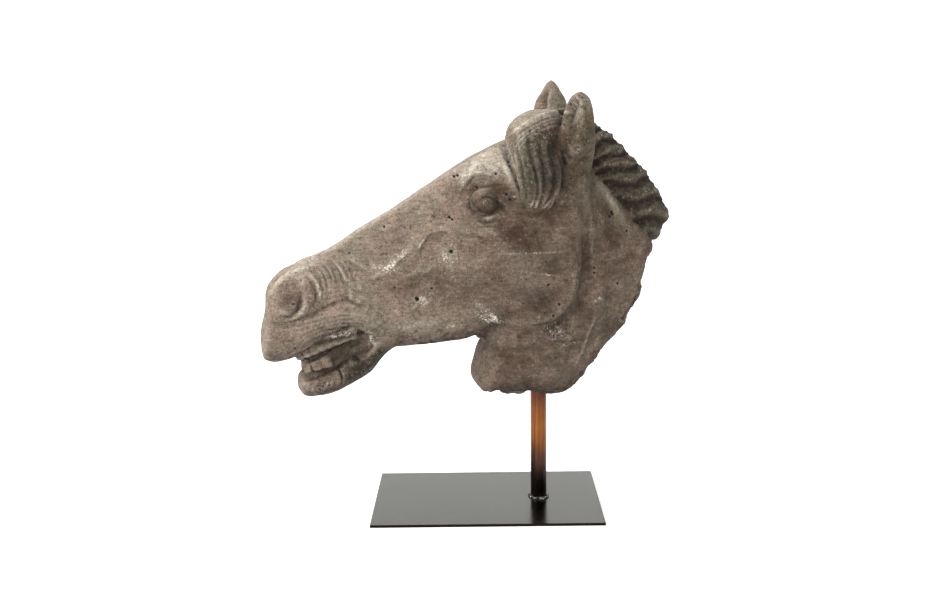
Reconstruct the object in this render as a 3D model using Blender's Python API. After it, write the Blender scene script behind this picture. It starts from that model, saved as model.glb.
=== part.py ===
"""A weathered stone horse head, broken off at the neck, held up by a steel rod on a thin steel plate.

Metres, +Z up. The origin is the middle of the plate's underside. The plate's long side runs along X,
the head looks towards -X and is turned a little towards -Y.
"""

import math

import bmesh
import bpy
import numpy as np
from mathutils import Matrix

# Driving dimensions
HEAD_LENGTH = 0.427
HEAD_TURN_DEG = 12.0
ROD_DIAMETER = 0.016
ROD_SHOWING = 0.117
ROD_FROM_MIDDLE = 0.0558
SOCKET_DEPTH = 0.035
SOCKET_CLEARANCE = 0.0003
WELD_WIDTH = 0.0022
WELD_HEIGHT = 0.0026
PLATE_LENGTH = 0.240
PLATE_DEPTH = 0.160
PLATE_THICKNESS = 0.003
PLATE_EDGE_ROUNDING = 0.0004
TOUCHING_GAP = 0.0003

# The head is modelled on a grid of its own: u from the nose to the nape, y across, v upwards, with the
# rod's axis at u = y = 0 and the underside of the neck near v = 0. The whole length is 427 grid steps.
HEAD_GRID = 427
HEAD_STEP = HEAD_LENGTH / HEAD_GRID
BODY_VOXEL = 3.0
CARVING_VOXEL = 1.8
HEAD_TRIANGLES = 9200
POINTS_AROUND = 40
TURN = np.linspace(0, 2 * math.pi, POINTS_AROUND, endpoint=False)
RING_SPACING = 5.0

# Sides of the head: the horse's left looks towards -Y
LEFT = -1
RIGHT = 1
BOTH = (LEFT, RIGHT)

# Ribs of each mass: top (u, v), bottom (u, v), then half widths at the top, a quarter down, half way,
# three quarters down and at the bottom
SKULL = (
    (-282, 104, -288, 80, 2, 4, 5, 4, 2),
    (-279, 119, -288, 62, 10, 20, 24, 24, 13),
    (-269, 131, -281, 51, 17, 32, 33, 31, 20),
    (-258, 143, -265, 51, 21, 37, 37, 34, 26),
    (-246, 152, -246, 57, 20, 36, 38, 36, 28),
    (-228, 158, -224, 70, 17, 29, 36, 37, 28),
    (-208, 168, -200, 76, 16, 25, 34, 37, 28),
    (-188, 181, -176, 63, 16, 24, 33, 35, 22),
    (-165, 194, -150, 58, 17, 27, 35, 33, 18),
    (-140, 208, -120, 59, 19, 31, 39, 34, 20),
    (-115, 224, -92, 61, 22, 38, 46, 37, 25),
    (-90, 239, -62, 65, 27, 48, 54, 45, 32),
    (-65, 252, -30, 70, 32, 56, 60, 54, 38),
    (-38, 265, 0, 76, 36, 61, 63, 60, 44),
    (-10, 274, 22, 90, 36, 61, 63, 60, 46),
    (15, 277, 34, 115, 34, 57, 60, 57, 44),
    (36, 272, 42, 150, 28, 46, 50, 48, 38),
    (50, 262, 48, 185, 12, 20, 22, 22, 16),
)
NECK = (
    (-60, 58, -73, 23, 12, 16, 16, 16, 14),
    (-53, 75, -67, 12, 30, 34, 36, 36, 34),
    (-40, 100, -49, 7, 38, 42, 44, 45, 42),
    (-15, 140, -20, 6, 42, 47, 49, 50, 46),
    (8, 180, 8, 1, 42, 50, 53, 54, 50),
    (24, 220, 24, 4, 40, 51, 55, 55, 50),
    (42, 256, 46, 25, 28, 48, 56, 55, 50),
    (66, 232, 67, 55, 20, 42, 54, 53, 48),
    (88, 206, 89, 79, 18, 38, 50, 50, 46),
    (101, 190, 101, 109, 16, 34, 45, 46, 42),
    (114, 176, 109, 142, 14, 26, 34, 34, 30),
    (124, 168, 121, 154, 6, 12, 14, 14, 12),
)
MANE = (
    (26, 283, 16, 250, 5, 8, 10, 12, 14),
    (45, 286, 32, 245, 8, 13, 17, 20, 22),
    (62, 279, 45, 235, 8, 14, 18, 22, 25),
    (79, 268, 57, 222, 8, 14, 18, 22, 26),
    (95, 252, 68, 206, 8, 14, 18, 22, 26),
    (112, 235, 80, 190, 8, 14, 18, 22, 26),
    (129, 212, 92, 174, 8, 14, 18, 22, 25),
    (141, 180, 102, 158, 8, 13, 17, 20, 23),
    (130, 160, 108, 148, 5, 9, 12, 14, 16),
)
LOWER_JAW = (
    (-253, 34, -254, 25, 3, 4, 5, 4, 3),
    (-250, 38, -250, 16, 15, 20, 20, 18, 12),
    (-238, 40, -235, 12, 20, 25, 25, 22, 15),
    (-222, 44, -216, 15, 22, 27, 28, 24, 16),
    (-205, 50, -197, 23, 24, 29, 30, 25, 16),
    (-188, 60, -178, 34, 25, 31, 31, 26, 16),
    (-176, 80, -164, 50, 25, 31, 31, 26, 16),
    (-160, 88, -150, 60, 18, 24, 24, 20, 12),
)
GUMS = (
    (-240, 64, -240, 34, 10, 13, 14, 13, 10),
    (-225, 76, -225, 34, 15, 17, 17, 17, 15),
    (-195, 88, -195, 44, 18, 20, 20, 20, 18),
    (-175, 88, -175, 56, 20, 22, 22, 22, 20),
)

# The parted forelock, level by level: v, middle (u, |y|), half sizes along u and y
FORELOCK = (
    (296, 4, 7, 12, 7),
    (293, 0, 12, 18, 11),
    (285, -6, 20, 26, 15),
    (271, -14, 33, 28, 14),
    (250, -13, 46, 26, 12),
    (230, -12, 55, 23, 10),
    (214, -12, 60, 20, 8),
    (205, -15, 61, 14, 6),
    (198, -17, 61, 8, 3),
)
FORELOCK_TIP = 198
RIGHT_FORELOCK_BACK = 16.5

# The front, middle and rear gaps between its locks, from the poll over the brow to the tip
FORELOCK_GAPS = (
    ((21, 295), (7, 297), (-10, 296), (-29, 286), (-40, 270), (-40, 255), (-37, 238), (-33, 220), (-29, 203)),
    ((16, 288), (4, 288), (-8, 286), (-17, 279), (-22, 267), (-21, 254), (-18, 238), (-18, 221), (-23, 203)),
    ((12, 276), (11, 272), (10, 268), (9, 262), (9, 254), (9, 245), (9, 232), (5, 214), (-15, 199)),
)
FORELOCK_LOCKS = 6
MANE_LOCKS = 8
MANE_FAN_MIDDLE = (-32.0, 212.0)
MANE_FAN_DEG = (-20.0, 42.0)

# Ears: roots and tips (u, |y|, v), and where their cups open, from backwards over outwards to forwards. The
# left one has lost its point.
LEFT_EAR_ROOT = (28.0, 37.0, 222.0)
LEFT_EAR_TIP = (31.0, 45.0, 314.0)
RIGHT_EAR_ROOT = (20.0, 37.0, 222.0)
RIGHT_EAR_TIP = (27.0, 45.0, 325.0)
LEFT_EAR_OPENING_DEG = 136.0
RIGHT_EAR_OPENING_DEG = 212.0
EAR_OPENING_HALF_DEG = 40.0

EYE = (-66.0, 43.0, 207.0)
EYE_RADIUS = 13.5
NOSTRIL = (-257.0, 121.0)
MOUTH = (
    (-262, 57), (-256, 61), (-245, 65), (-227, 74), (-204, 79), (-188, 80), (-179, 74),
    (-177, 65), (-183, 59), (-195, 53), (-210, 48), (-225, 42), (-242, 36), (-262, 34),
)
MOUTH_HALF_WIDTH = 15.0
BREAK_FACING = (0.82, 0.0, -0.57)
BREAK_CHIP = 20.0
BREAK_DEPTH = 2.5
UPPER_TEETH = ((-249, 0, 56), (-248, 7, 57), (-241, 14, 62), (-230, 18.5, 67), (-204, 22, 77),
               (-194, 23, 80))
LOWER_TEETH = ((-244, 0, 43), (-243, 6, 44), (-238, 13, 46), (-229, 17, 49), (-219, 19, 52))
TOOTH_DEPTH = 9.0
TOOTH_HEIGHT = 12.0


def spline(knots, values, at):
    """Reads a smooth curve that passes through each value at its knot."""
    knots = np.asarray(knots, float)
    values = np.asarray(values, float)
    at = np.clip(np.asarray(at, float), knots[0], knots[-1])
    slopes = np.gradient(values, knots, axis=0)
    i = np.clip(np.searchsorted(knots, at, side="right") - 1, 0, len(knots) - 2)
    span = knots[i + 1] - knots[i]
    t = (at - knots[i]) / span
    for _ in range(values.ndim - 1):
        t = t[..., None]
        span = span[..., None]
    start = (2 * t**3 - 3 * t**2 + 1) * values[i] + (t**3 - 2 * t**2 + t) * span * slopes[i]
    end = (3 * t**2 - 2 * t**3) * values[i + 1] + (t**3 - t**2) * span * slopes[i + 1]
    return start + end


def run_along(points):
    """Distance travelled at each point of a path."""
    steps = np.linalg.norm(np.diff(points, axis=0), axis=1)
    return np.concatenate([[0], np.cumsum(steps)])


def traced(points, spacing=2.5):
    """A smooth path through the given points."""
    points = np.array(points, float)
    run = run_along(points)
    return spline(run, points, np.linspace(0, run[-1], max(3, int(run[-1] / spacing))))


def smooth_step(x, low, high):
    t = np.clip((x - low) / (high - low), 0, 1)
    return t * t * (3 - 2 * t)


def mesh_from(bm, name):
    mesh = bpy.data.meshes.new(name)
    bm.to_mesh(mesh)
    bm.free()
    return mesh


def lofted(rings, name):
    """A closed skin over rows of rings, with its first and last ring filled."""
    rings = np.asarray(rings, float)
    rows, around = rings.shape[:2]
    bm = bmesh.new()
    bmesh.ops.create_grid(bm, x_segments=around, y_segments=rows - 1, size=1.0)
    seamed = np.concatenate([rings, rings[:, :1]], axis=1).reshape(-1, 3)
    for vert, place in zip(bm.verts, seamed):
        vert.co = place
    bmesh.ops.remove_doubles(bm, verts=bm.verts, dist=1e-4)
    bmesh.ops.holes_fill(bm, edges=bm.edges, sides=0)
    bmesh.ops.recalc_face_normals(bm, faces=bm.faces)
    return mesh_from(bm, name)


def ribbed_mass(ribs, name, fullness=0.62):
    """A mass over upright ribs; a lower fullness makes their section squarer."""
    table = np.array(ribs, float)
    run = run_along((table[:, 0:2] + table[:, 2:4]) / 2)
    rows = spline(run, table, np.linspace(0, run[-1], max(8, int(run[-1] / RING_SPACING))))
    angle = np.linspace(0, math.pi, POINTS_AROUND // 2 + 1)
    down = (1 - np.cos(angle)) / 2
    rings = []
    for row in rows:
        out = spline((0, 0.25, 0.5, 0.75, 1), row[4:9], down) * np.sin(angle) ** fullness
        u = row[0] + (row[2] - row[0]) * down
        v = row[1] + (row[3] - row[1]) * down
        left = np.stack([u, -out, v], 1)
        right = np.stack([u, out, v], 1)[-2:0:-1]
        rings.append(np.concatenate([left, right]))
    return lofted(rings, name)


def forelock_shift(side, v):
    """The right half of the forelock lies further back than the left one."""
    back = RIGHT_FORELOCK_BACK if side == RIGHT else 0.0
    return back * np.clip((v - FORELOCK_TIP) / 40, 0, 1)


def level_ring(middle, half_u, half_y):
    """A level oval; its half sizes may differ from point to point."""
    ring = np.tile(np.array(middle, float), (POINTS_AROUND, 1))
    ring[:, 0] += half_u * np.cos(TURN)
    ring[:, 1] += half_y * np.sin(TURN)
    return ring


def forelock_mass(side):
    table = np.array(FORELOCK, float)[::-1]
    rows = spline(table[:, 0], table, np.linspace(table[0, 0], table[-1, 0], 30))
    rings = []
    for v, u, y, half_u, half_y in rows:
        middle = u + forelock_shift(side, v)
        rings.append(level_ring((middle, side * y, v), half_u, side * half_y))
    return lofted(rings, "forelock")


def ear_mass(side, root, tip, opening_deg, blunt, breadth=1.0):
    """A leaf-shaped ear, level by level, with the hollow of its cup on one side."""
    root = np.array(root)
    rise = np.array(tip) - root
    off_opening = np.angle(np.exp(1j * (TURN - math.radians(opening_deg))))
    shares = (0, 0.12, 0.3, 0.6, 0.8, 0.9, 0.96, 1)
    rings = []
    for t in 1 - np.linspace(1, 0, 28) ** 1.5:
        half_u = breadth * spline(shares, (8, 15, 18.5, 17.5, 14.5, 8 + 3 * blunt, 5 + 2 * blunt, 1.2), t)
        half_y = spline(shares, (6, 11, 14, 12, 9.5, 6 + 2 * blunt, 3 + 2 * blunt, 1.2), t)
        cup = 0.68 * smooth_step(t, 0.36, 0.66) * (1 - smooth_step(t, 0.86, 0.98))
        opening = math.radians(EAR_OPENING_HALF_DEG) * (0.4 + 0.6 * smooth_step(t, 0.36, 0.7))
        reach = 1 - cup * np.exp(-((off_opening / opening) ** 4))
        u, y, v = root + rise * t
        rings.append(level_ring((u, side * y, v), half_u * reach, side * half_y * reach))
    return lofted(rings, "ear")


def eyeball(side):
    bm = bmesh.new()
    bmesh.ops.create_icosphere(bm, subdivisions=4, radius=EYE_RADIUS)
    bmesh.ops.translate(bm, verts=bm.verts, vec=(EYE[0], side * EYE[1], EYE[2]))
    return mesh_from(bm, "eyeball")


def tooth(at, width, heading, tilt):
    bm = bmesh.new()
    bmesh.ops.create_cube(bm, size=1.0)
    bmesh.ops.scale(bm, verts=bm.verts, vec=(width, TOOTH_DEPTH, TOOTH_HEIGHT))
    bmesh.ops.bevel(bm, geom=bm.edges, offset=1.6, segments=2, affect="EDGES", profile=0.5, material=-1)
    turned = Matrix.Rotation(heading, 4, "Z") @ Matrix.Rotation(tilt, 4, "Y")
    bmesh.ops.transform(bm, matrix=Matrix.Translation(at) @ turned, verts=bm.verts)
    return mesh_from(bm, "tooth")


def tooth_row(arch, each_side):
    """Teeth side by side on an arch given from the front to its left end, and mirrored to the right."""
    path = traced(arch)
    run = run_along(path)
    pitch = run[-1] / (each_side + 0.5)
    row = []
    for k in range(-each_side, each_side + 1):
        along = abs(k) * pitch
        at = spline(run, path, along)
        ahead = spline(run, path, min(along + 1, run[-1])) - spline(run, path, max(along - 1, 0))
        side = LEFT if k > 0 else RIGHT
        heading = math.atan2(side * ahead[1], ahead[0])
        tilt = -math.atan2(ahead[2], math.hypot(ahead[0], ahead[1]))
        row.append(tooth((at[0], side * at[1], at[2]), 0.9 * pitch, heading, tilt))
    return row


def fused(masses, voxel):
    """One closed skin over masses that run into each other."""
    bm = bmesh.new()
    for mesh in masses:
        bm.from_mesh(mesh)
        bpy.data.meshes.remove(mesh)
    obj = bpy.data.objects.new("masses", mesh_from(bm, "masses"))
    bpy.context.scene.collection.objects.link(obj)
    remesh = obj.modifiers.new("one skin", "REMESH")
    remesh.mode = "VOXEL"
    remesh.voxel_size = voxel
    return settled(obj)


def settled(obj):
    """The mesh of an object with its modifiers applied; the object itself is removed."""
    graph = bpy.context.evaluated_depsgraph_get()
    mesh = bpy.data.meshes.new_from_object(obj.evaluated_get(graph))
    bpy.data.objects.remove(obj)
    return mesh


def path_offsets(flat, path):
    """For each (u, v): distance to the path, and the same with a sign, positive on the path's left."""
    start, step = path[:-1], np.diff(path, axis=0)
    length = np.linalg.norm(step, axis=1)
    to_point = flat[:, None, :] - start[None]
    t = np.clip((to_point * step).sum(2) / length**2, 0, 1)
    off = to_point - t[..., None] * step
    nearest = (off**2).sum(2).argmin(1)
    each = np.arange(len(flat))
    off = off[each, nearest]
    distance = np.linalg.norm(off, axis=1)
    side = step[nearest, 0] * off[:, 1] - step[nearest, 1] * off[:, 0]
    share = (run_along(path)[nearest] + t[each, nearest] * length[nearest]) / length.sum()
    return distance, np.sign(side) * distance, share


def within(flat, outline):
    """True for each (u, v) inside a closed outline."""
    u, v = flat.T
    hit = np.zeros(len(flat), bool)
    corners = np.asarray(outline, float)
    for (u1, v1), (u2, v2) in zip(corners, np.roll(corners, -1, axis=0)):
        spans = (v1 > v) != (v2 > v)
        crossing = u1 + (u2 - u1) * (v - v1) / np.where(v2 == v1, 1, v2 - v1)
        hit ^= spans & (u < crossing)
    return hit


class Carving:
    """The head's points, moved by tools whose places are given in side view as (u, v)."""

    def __init__(self, mesh):
        self.mesh = mesh
        self.at = np.empty(len(mesh.vertices) * 3)
        mesh.vertices.foreach_get("co", self.at)
        self.at = self.at.reshape(-1, 3)
        ends = np.empty(len(mesh.edges) * 2, np.int64)
        mesh.edges.foreach_get("vertices", ends)
        ends = ends.reshape(-1, 2)
        self.pairs = np.concatenate([ends, ends[:, ::-1]])
        self.neighbours = np.bincount(self.pairs[:, 0], minlength=len(self.at))
        self.update()

    def update(self):
        self.mesh.vertices.foreach_set("co", self.at.ravel())
        self.mesh.update()
        outwards = np.empty(self.at.size)
        self.mesh.vertices.foreach_get("normal", outwards)
        self.outwards = outwards.reshape(-1, 3)
        self.lift = np.zeros(len(self.at))

    def cut(self):
        """Moves the surface by what the tools since the last cut add up to."""
        self.at = self.at + self.outwards * self.lift[:, None]
        self.update()

    def rub(self, rounds):
        """Softens the whole surface."""
        for _ in range(rounds):
            here, there = self.pairs.T
            sums = [np.bincount(here, self.at[there, axis], len(self.at)) for axis in range(3)]
            self.at = (self.at + np.stack(sums, 1) / self.neighbours[:, None]) / 2
        self.update()

    def reached(self, points, reach, side):
        """Indices of the points of one side that lie near the given ones in side view."""
        low, high = np.min(points, 0) - reach, np.max(points, 0) + reach
        u, y, v = self.at.T
        near = (u > low[0]) & (u < high[0]) & (v > low[1]) & (v < high[1]) & (side * y > 2)
        return np.nonzero(near)[0]

    def fade(self, i, side):
        """Tools for the flanks fade out towards the middle of the head."""
        return smooth_step(side * self.at[i, 1], 3, 12)

    def dab(self, at, height, radius, long=1.0, lean_deg=0.0, edge=2.0):
        """A round or oval swelling, or a hollow where height is negative, on both sides."""
        c, s = math.cos(math.radians(lean_deg)), math.sin(math.radians(lean_deg))
        for side in BOTH:
            i = self.reached([at], radius * long * 2.2, side)
            du, dv = self.at[i, 0] - at[0], self.at[i, 2] - at[1]
            along, across = (du * c + dv * s) / (radius * long), (dv * c - du * s) / radius
            away = np.hypot(along, across)
            self.lift[i] += height * self.fade(i, side) * np.exp(-(away**edge))

    def stroke(self, points, height, left, right=None, ends=0.15, sides=BOTH):
        """A ridge along a curve, or a groove where height is negative, on both sides.

        left and right are its widths to each side of the curve; ends is the share that tapers.
        """
        right = left if right is None else right
        path = traced(points)
        for side in sides:
            i = self.reached(path, 2.4 * max(left, right), side)
            if not len(i):
                continue
            distance, signed, share = path_offsets(self.at[i][:, [0, 2]], path)
            width = np.where(signed > 0, left, right)
            taper = np.clip(np.minimum(share, 1 - share) / ends, 0, 1) ** 0.7
            self.lift[i] += height * self.fade(i, side) * taper * np.exp(-((distance / width) ** 2))


def model_main_forms(clay):
    # Socket of the eye under its brow, and the hollow in front of it
    clay.dab((-64, 216), 4, 28)
    clay.dab((-66, 208), -6, 17, edge=3)
    clay.dab((-100, 192), -4, 14, long=1.7, lean_deg=35)
    # Cheek bone, with a hollow below it
    clay.stroke([(-140, 150), (-133, 165), (-122, 177), (-106, 181), (-76, 179), (-50, 172)], 3.2, 9, 3.5)
    clay.stroke([(-150, 142), (-126, 160), (-98, 166), (-66, 162)], -3.5, 9)
    # Round plate of the jaw muscle, with a groove behind it
    clay.stroke([(20, 205), (24, 170), (25, 135), (18, 108), (0, 92), (-36, 87), (-60, 92)], 3.5, 6, 20)
    clay.stroke([(32, 205), (38, 170), (38, 130), (28, 100), (6, 80), (-36, 72)], -4, 7)
    # Hollow beside the bridge of the nose, and the swelling over the cheek teeth
    clay.stroke([(-225, 136), (-190, 146), (-155, 160), (-135, 180)], -2.5, 9)
    clay.stroke([(-205, 112), (-180, 118), (-150, 124), (-110, 128)], 2.5, 12)
    # Upper lip
    clay.dab((-262, 92), -3, 12, long=1.6, lean_deg=-10)
    clay.dab((-272, 72), 2.5, 15)
    # Flare of the nostril
    clay.dab(NOSTRIL, 6, 23, edge=4)
    clay.cut()
    # Muscles of the neck and the fold under the throat
    clay.stroke([(52, 120), (44, 90), (34, 66), (24, 36)], 3, 7)
    clay.stroke([(66, 200), (78, 160), (80, 120)], -3, 14)
    clay.stroke([(-66, 58), (-40, 57), (-10, 60), (14, 72)], -3, 5)
    clay.cut()


def open_mouth(clay):
    """Sinks both flanks between the lips, which leaves room for the gums and teeth."""
    for side in BOTH:
        i = clay.reached(MOUTH, 0, side)
        i = i[within(clay.at[i][:, [0, 2]], MOUTH)]
        clay.at[i, 1] = side * np.minimum(side * clay.at[i, 1], MOUTH_HALF_WIDTH)
    clay.update()


def carve_nostril(clay):
    clay.dab(NOSTRIL, -5, 15, edge=4)
    clay.dab(NOSTRIL, -4, 5.5, edge=3)
    rim = [(-277, 126), (-270, 138), (-258, 144), (-246, 141), (-239, 129), (-240, 116), (-247, 106),
           (-259, 100)]
    clay.stroke(rim, 3, 3, 3.5)
    clay.cut()
    clay.stroke([(-262, 150), (-244, 149), (-233, 136), (-230, 118), (-238, 102), (-254, 94)], 1.8, 3)
    for k in range(5):
        top = np.array((-240 + 9.0 * k, 153 + 3.4 * k))
        fold = [top, top + (9, -16), top + (10, -36)]
        clay.stroke(fold, 1.6, 3)
    clay.cut()


def carve_eye(clay):
    upper_lid = [(-84, 205), (-80, 214), (-69, 220), (-57, 217), (-51, 207), (-50, 200)]
    lower_lid = [(-84, 205), (-76, 198), (-64, 194), (-54, 196), (-50, 200)]
    brow = [(-92, 224), (-84, 235), (-72, 241), (-61, 239), (-48, 230), (-40, 220), (-34, 205)]
    clay.stroke(upper_lid, 3.2, 3.5, 2.5)
    clay.stroke(lower_lid, 2.4, 2.5, 3.0)
    clay.stroke(brow, 3, 6, 3)
    clay.cut()


def carve_forelock(clay, depth=4.0):
    """Gaps between locks that sweep forwards from the poll and fall together to the tip."""
    gaps = np.array(FORELOCK_GAPS, float)
    for side in BOTH:
        for share in np.linspace(0, 1, FORELOCK_LOCKS + 1):
            path = spline((0, 0.5, 1), gaps, np.full(1, share))[0]
            path[:, 0] += forelock_shift(side, path[:, 1])
            clay.stroke(path, -depth, 2.2, 3.0, ends=0.08, sides=(side,))
    clay.cut()


def carve_mane(clay, depth=5.0):
    """Locks that fan out from the crest of the neck, each with a steep lower side."""
    u, y, v = clay.at.T
    du, dv = u - MANE_FAN_MIDDLE[0], v - MANE_FAN_MIDDLE[1]
    angle = np.degrees(np.arctan2(dv, du))
    reach = np.hypot(du, dv)
    border = spline((150, 176, 207, 225, 240, 262, 290), (104, 91, 70, 54, 45, 38, 30), v)
    low, high = MANE_FAN_DEG
    on_mane = smooth_step(u - border, -2, 5) * smooth_step(reach, 70, 84)
    on_mane *= smooth_step(angle, low - 2, low + 2) * (1 - smooth_step(angle, high + 2, high + 8))
    count = MANE_LOCKS * (angle - low + 1.3 * np.sin(reach / 9)) / (high - low)
    part = count - np.floor(count)
    lock = np.where(part < 0.3, part / 0.3, (1 - part) / 0.7) ** 0.8 - 0.55
    on_mane *= 1 - smooth_step(np.abs(y), 25, 31)
    beside_crest = 0.35 + 0.65 * (1 - np.exp(-((y / 3.5) ** 2)))
    clay.lift += depth * on_mane * lock * beside_crest
    clay.cut()


def break_neck(clay, seed=5):
    """The end and the underside of the neck are broken: flat chips, each tilted its own way."""
    chance = np.random.default_rng(seed)
    u, _, v = clay.at.T
    end = smooth_step(clay.outwards @ np.array(BREAK_FACING), 0.45, 0.8) * smooth_step(u, 15, 30)
    under = smooth_step(-clay.outwards[:, 2], 0.6, 0.9)
    broken = np.maximum(end, under) * (1 - smooth_step(v, 150, 165)) * smooth_step(u, -80, -70)
    places = np.nonzero(broken > 0.02)[0]
    count = int(len(places) * CARVING_VOXEL**2 / BREAK_CHIP**2)
    middles = clay.at[chance.choice(places, count, replace=False)]
    tilts = chance.normal(0, BREAK_DEPTH / BREAK_CHIP, (count, 3))
    depths = chance.normal(0, BREAK_DEPTH / 2, count)
    reach = np.linalg.norm(clay.at[places][:, None, :] - middles[None], axis=2)
    chip = reach.argmin(1)
    slope = ((clay.at[places] - middles[chip]) * tilts[chip]).sum(1)
    rise = np.clip(depths[chip] + slope, -BREAK_DEPTH, BREAK_DEPTH)
    clay.lift[places] += broken[places] * rise
    clay.cut()


def carved_head():
    """The whole head on its own grid."""
    body = fused([ribbed_mass(SKULL, "skull"), ribbed_mass(NECK, "neck", 0.45),
                  ribbed_mass(LOWER_JAW, "lower jaw")], BODY_VOXEL)
    clay = Carving(body)
    clay.rub(8)
    model_main_forms(clay)
    open_mouth(clay)
    masses = [body, ribbed_mass(MANE, "mane", 0.7), ribbed_mass(GUMS, "gums")]
    masses += [forelock_mass(side) for side in BOTH] + [eyeball(side) for side in BOTH]
    masses.append(ear_mass(LEFT, LEFT_EAR_ROOT, LEFT_EAR_TIP, LEFT_EAR_OPENING_DEG, 1.0))
    masses.append(ear_mass(RIGHT, RIGHT_EAR_ROOT, RIGHT_EAR_TIP, RIGHT_EAR_OPENING_DEG, 0.2, 1.15))
    masses += tooth_row(UPPER_TEETH, 6) + tooth_row(LOWER_TEETH, 3)
    head = fused(masses, CARVING_VOXEL)
    clay = Carving(head)
    clay.rub(2)
    carve_nostril(clay)
    carve_eye(clay)
    carve_forelock(clay)
    carve_mane(clay)
    break_neck(clay)
    clay.rub(1)
    return head


def principled(name, colour, roughness, metallic=0.0):
    material = bpy.data.materials.new(name)
    material.use_nodes = True
    shader = material.node_tree.nodes["Principled BSDF"]
    shader.inputs["Base Color"].default_value = (*colour, 1.0)
    shader.inputs["Roughness"].default_value = roughness
    shader.inputs["Metallic"].default_value = metallic
    return material


def placed(name, mesh, material, location=(0, 0, 0), turn_deg=0.0):
    obj = bpy.data.objects.new(name, mesh)
    bpy.context.scene.collection.objects.link(obj)
    obj.location = location
    obj.rotation_euler.z = math.radians(turn_deg)
    mesh.materials.clear()
    mesh.materials.append(material)
    return obj


def rounded_smooth(mesh, angle_deg=30):
    mesh.shade_smooth()
    mesh.set_sharp_from_angle(angle=math.radians(angle_deg))


def make_plate(material):
    bm = bmesh.new()
    bmesh.ops.create_cube(bm, size=1.0)
    bmesh.ops.scale(bm, verts=bm.verts, vec=(PLATE_LENGTH, PLATE_DEPTH, PLATE_THICKNESS))
    bmesh.ops.translate(bm, verts=bm.verts, vec=(0, 0, PLATE_THICKNESS / 2))
    bmesh.ops.bevel(bm, geom=bm.edges, offset=PLATE_EDGE_ROUNDING, segments=2, affect="EDGES",
                    profile=0.5, material=-1)
    return placed("base_plate", mesh_from(bm, "base_plate"), material)


def make_rod(material, sides=32, weld_lumps=9):
    """The rod, turned from its profile, with the uneven weld bead around its foot."""
    foot = PLATE_THICKNESS + TOUCHING_GAP
    top = PLATE_THICKNESS + ROD_SHOWING + SOCKET_DEPTH - TOUCHING_GAP
    radius = ROD_DIAMETER / 2
    bead = [(radius + WELD_WIDTH * math.cos(a), foot + WELD_HEIGHT * math.sin(a))
            for a in (math.radians(deg) for deg in (0, 30, 60, 85))]
    chamfer = ROD_DIAMETER / 20
    profile = [(0, foot)] + bead + [(radius, foot + 2 * WELD_HEIGHT), (radius, top - chamfer),
                                    (radius - chamfer, top), (0, top)]
    bm = bmesh.new()
    verts = [bm.verts.new((x, 0, z)) for x, z in profile]
    edges = [bm.edges.new(pair) for pair in zip(verts, verts[1:])]
    bmesh.ops.spin(bm, geom=verts + edges, cent=(0, 0, 0), axis=(0, 0, 1), angle=2 * math.pi,
                   steps=sides, use_merge=True)
    bmesh.ops.remove_doubles(bm, verts=bm.verts, dist=1e-6)
    bmesh.ops.recalc_face_normals(bm, faces=bm.faces)
    for vert in bm.verts:
        out = math.hypot(vert.co.x, vert.co.y)
        if out > radius + WELD_WIDTH / 10:
            turn = math.atan2(vert.co.y, vert.co.x)
            lump = 1 + 0.35 * math.sin(weld_lumps * turn) * (out - radius) / out
            vert.co.x *= lump
            vert.co.y *= lump
    mesh = mesh_from(bm, "support_rod")
    rounded_smooth(mesh)
    return placed("support_rod", mesh, material, (ROD_FROM_MIDDLE, 0, 0))


def socket_cutter():
    """The drilled hole that takes the rod, from below the head to the hole's floor."""
    below = ROD_SHOWING / 2
    bm = bmesh.new()
    radius = ROD_DIAMETER / 2 + SOCKET_CLEARANCE
    bmesh.ops.create_cone(bm, cap_ends=True, segments=32, radius1=radius, radius2=radius,
                          depth=below + SOCKET_DEPTH)
    bmesh.ops.translate(bm, verts=bm.verts, vec=(0, 0, (SOCKET_DEPTH - below) / 2))
    cutter = bpy.data.objects.new("rod_socket_cutter", mesh_from(bm, "rod_socket_cutter"))
    bpy.context.scene.collection.objects.link(cutter)
    cutter.hide_render = True
    cutter.display_type = "WIRE"
    return cutter


def make_head(material):
    head = carved_head()
    fine = bpy.data.objects.new("fine head", head)
    bpy.context.scene.collection.objects.link(fine)
    coarser = fine.modifiers.new("facets", "DECIMATE")
    coarser.ratio = HEAD_TRIANGLES / (2 * len(head.polygons))
    mesh = settled(fine)
    mesh.transform(Matrix.Scale(HEAD_STEP, 4))
    mesh.name = "horse_head"
    foot_of_neck = (ROD_FROM_MIDDLE, 0, PLATE_THICKNESS + ROD_SHOWING)
    obj = placed("horse_head", mesh, material, foot_of_neck, HEAD_TURN_DEG)
    cutter = socket_cutter()
    cutter.parent = obj
    socket = obj.modifiers.new("rod socket", "BOOLEAN")
    socket.operation = "DIFFERENCE"
    socket.object = cutter
    return obj


def main():
    for obj in list(bpy.data.objects):
        bpy.data.objects.remove(obj)
    stone = principled("weathered cast stone", (0.23, 0.19, 0.155), 0.85)
    copper = principled("copper-plated steel", (0.33, 0.14, 0.06), 0.35, 1.0)
    steel = principled("blackened steel", (0.16, 0.16, 0.15), 0.4, 1.0)
    make_plate(steel)
    make_rod(copper)
    make_head(stone)


main()
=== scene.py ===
# A weathered cast stone horse head, broken off at the neck, on a coppered rod welded to a blackened plate.
# Metres and +Z up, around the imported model. The head is carved on a grid of its own, described below.

import math

import bmesh
import bpy
import numpy as np
from mathutils import Matrix, Vector, kdtree


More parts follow.
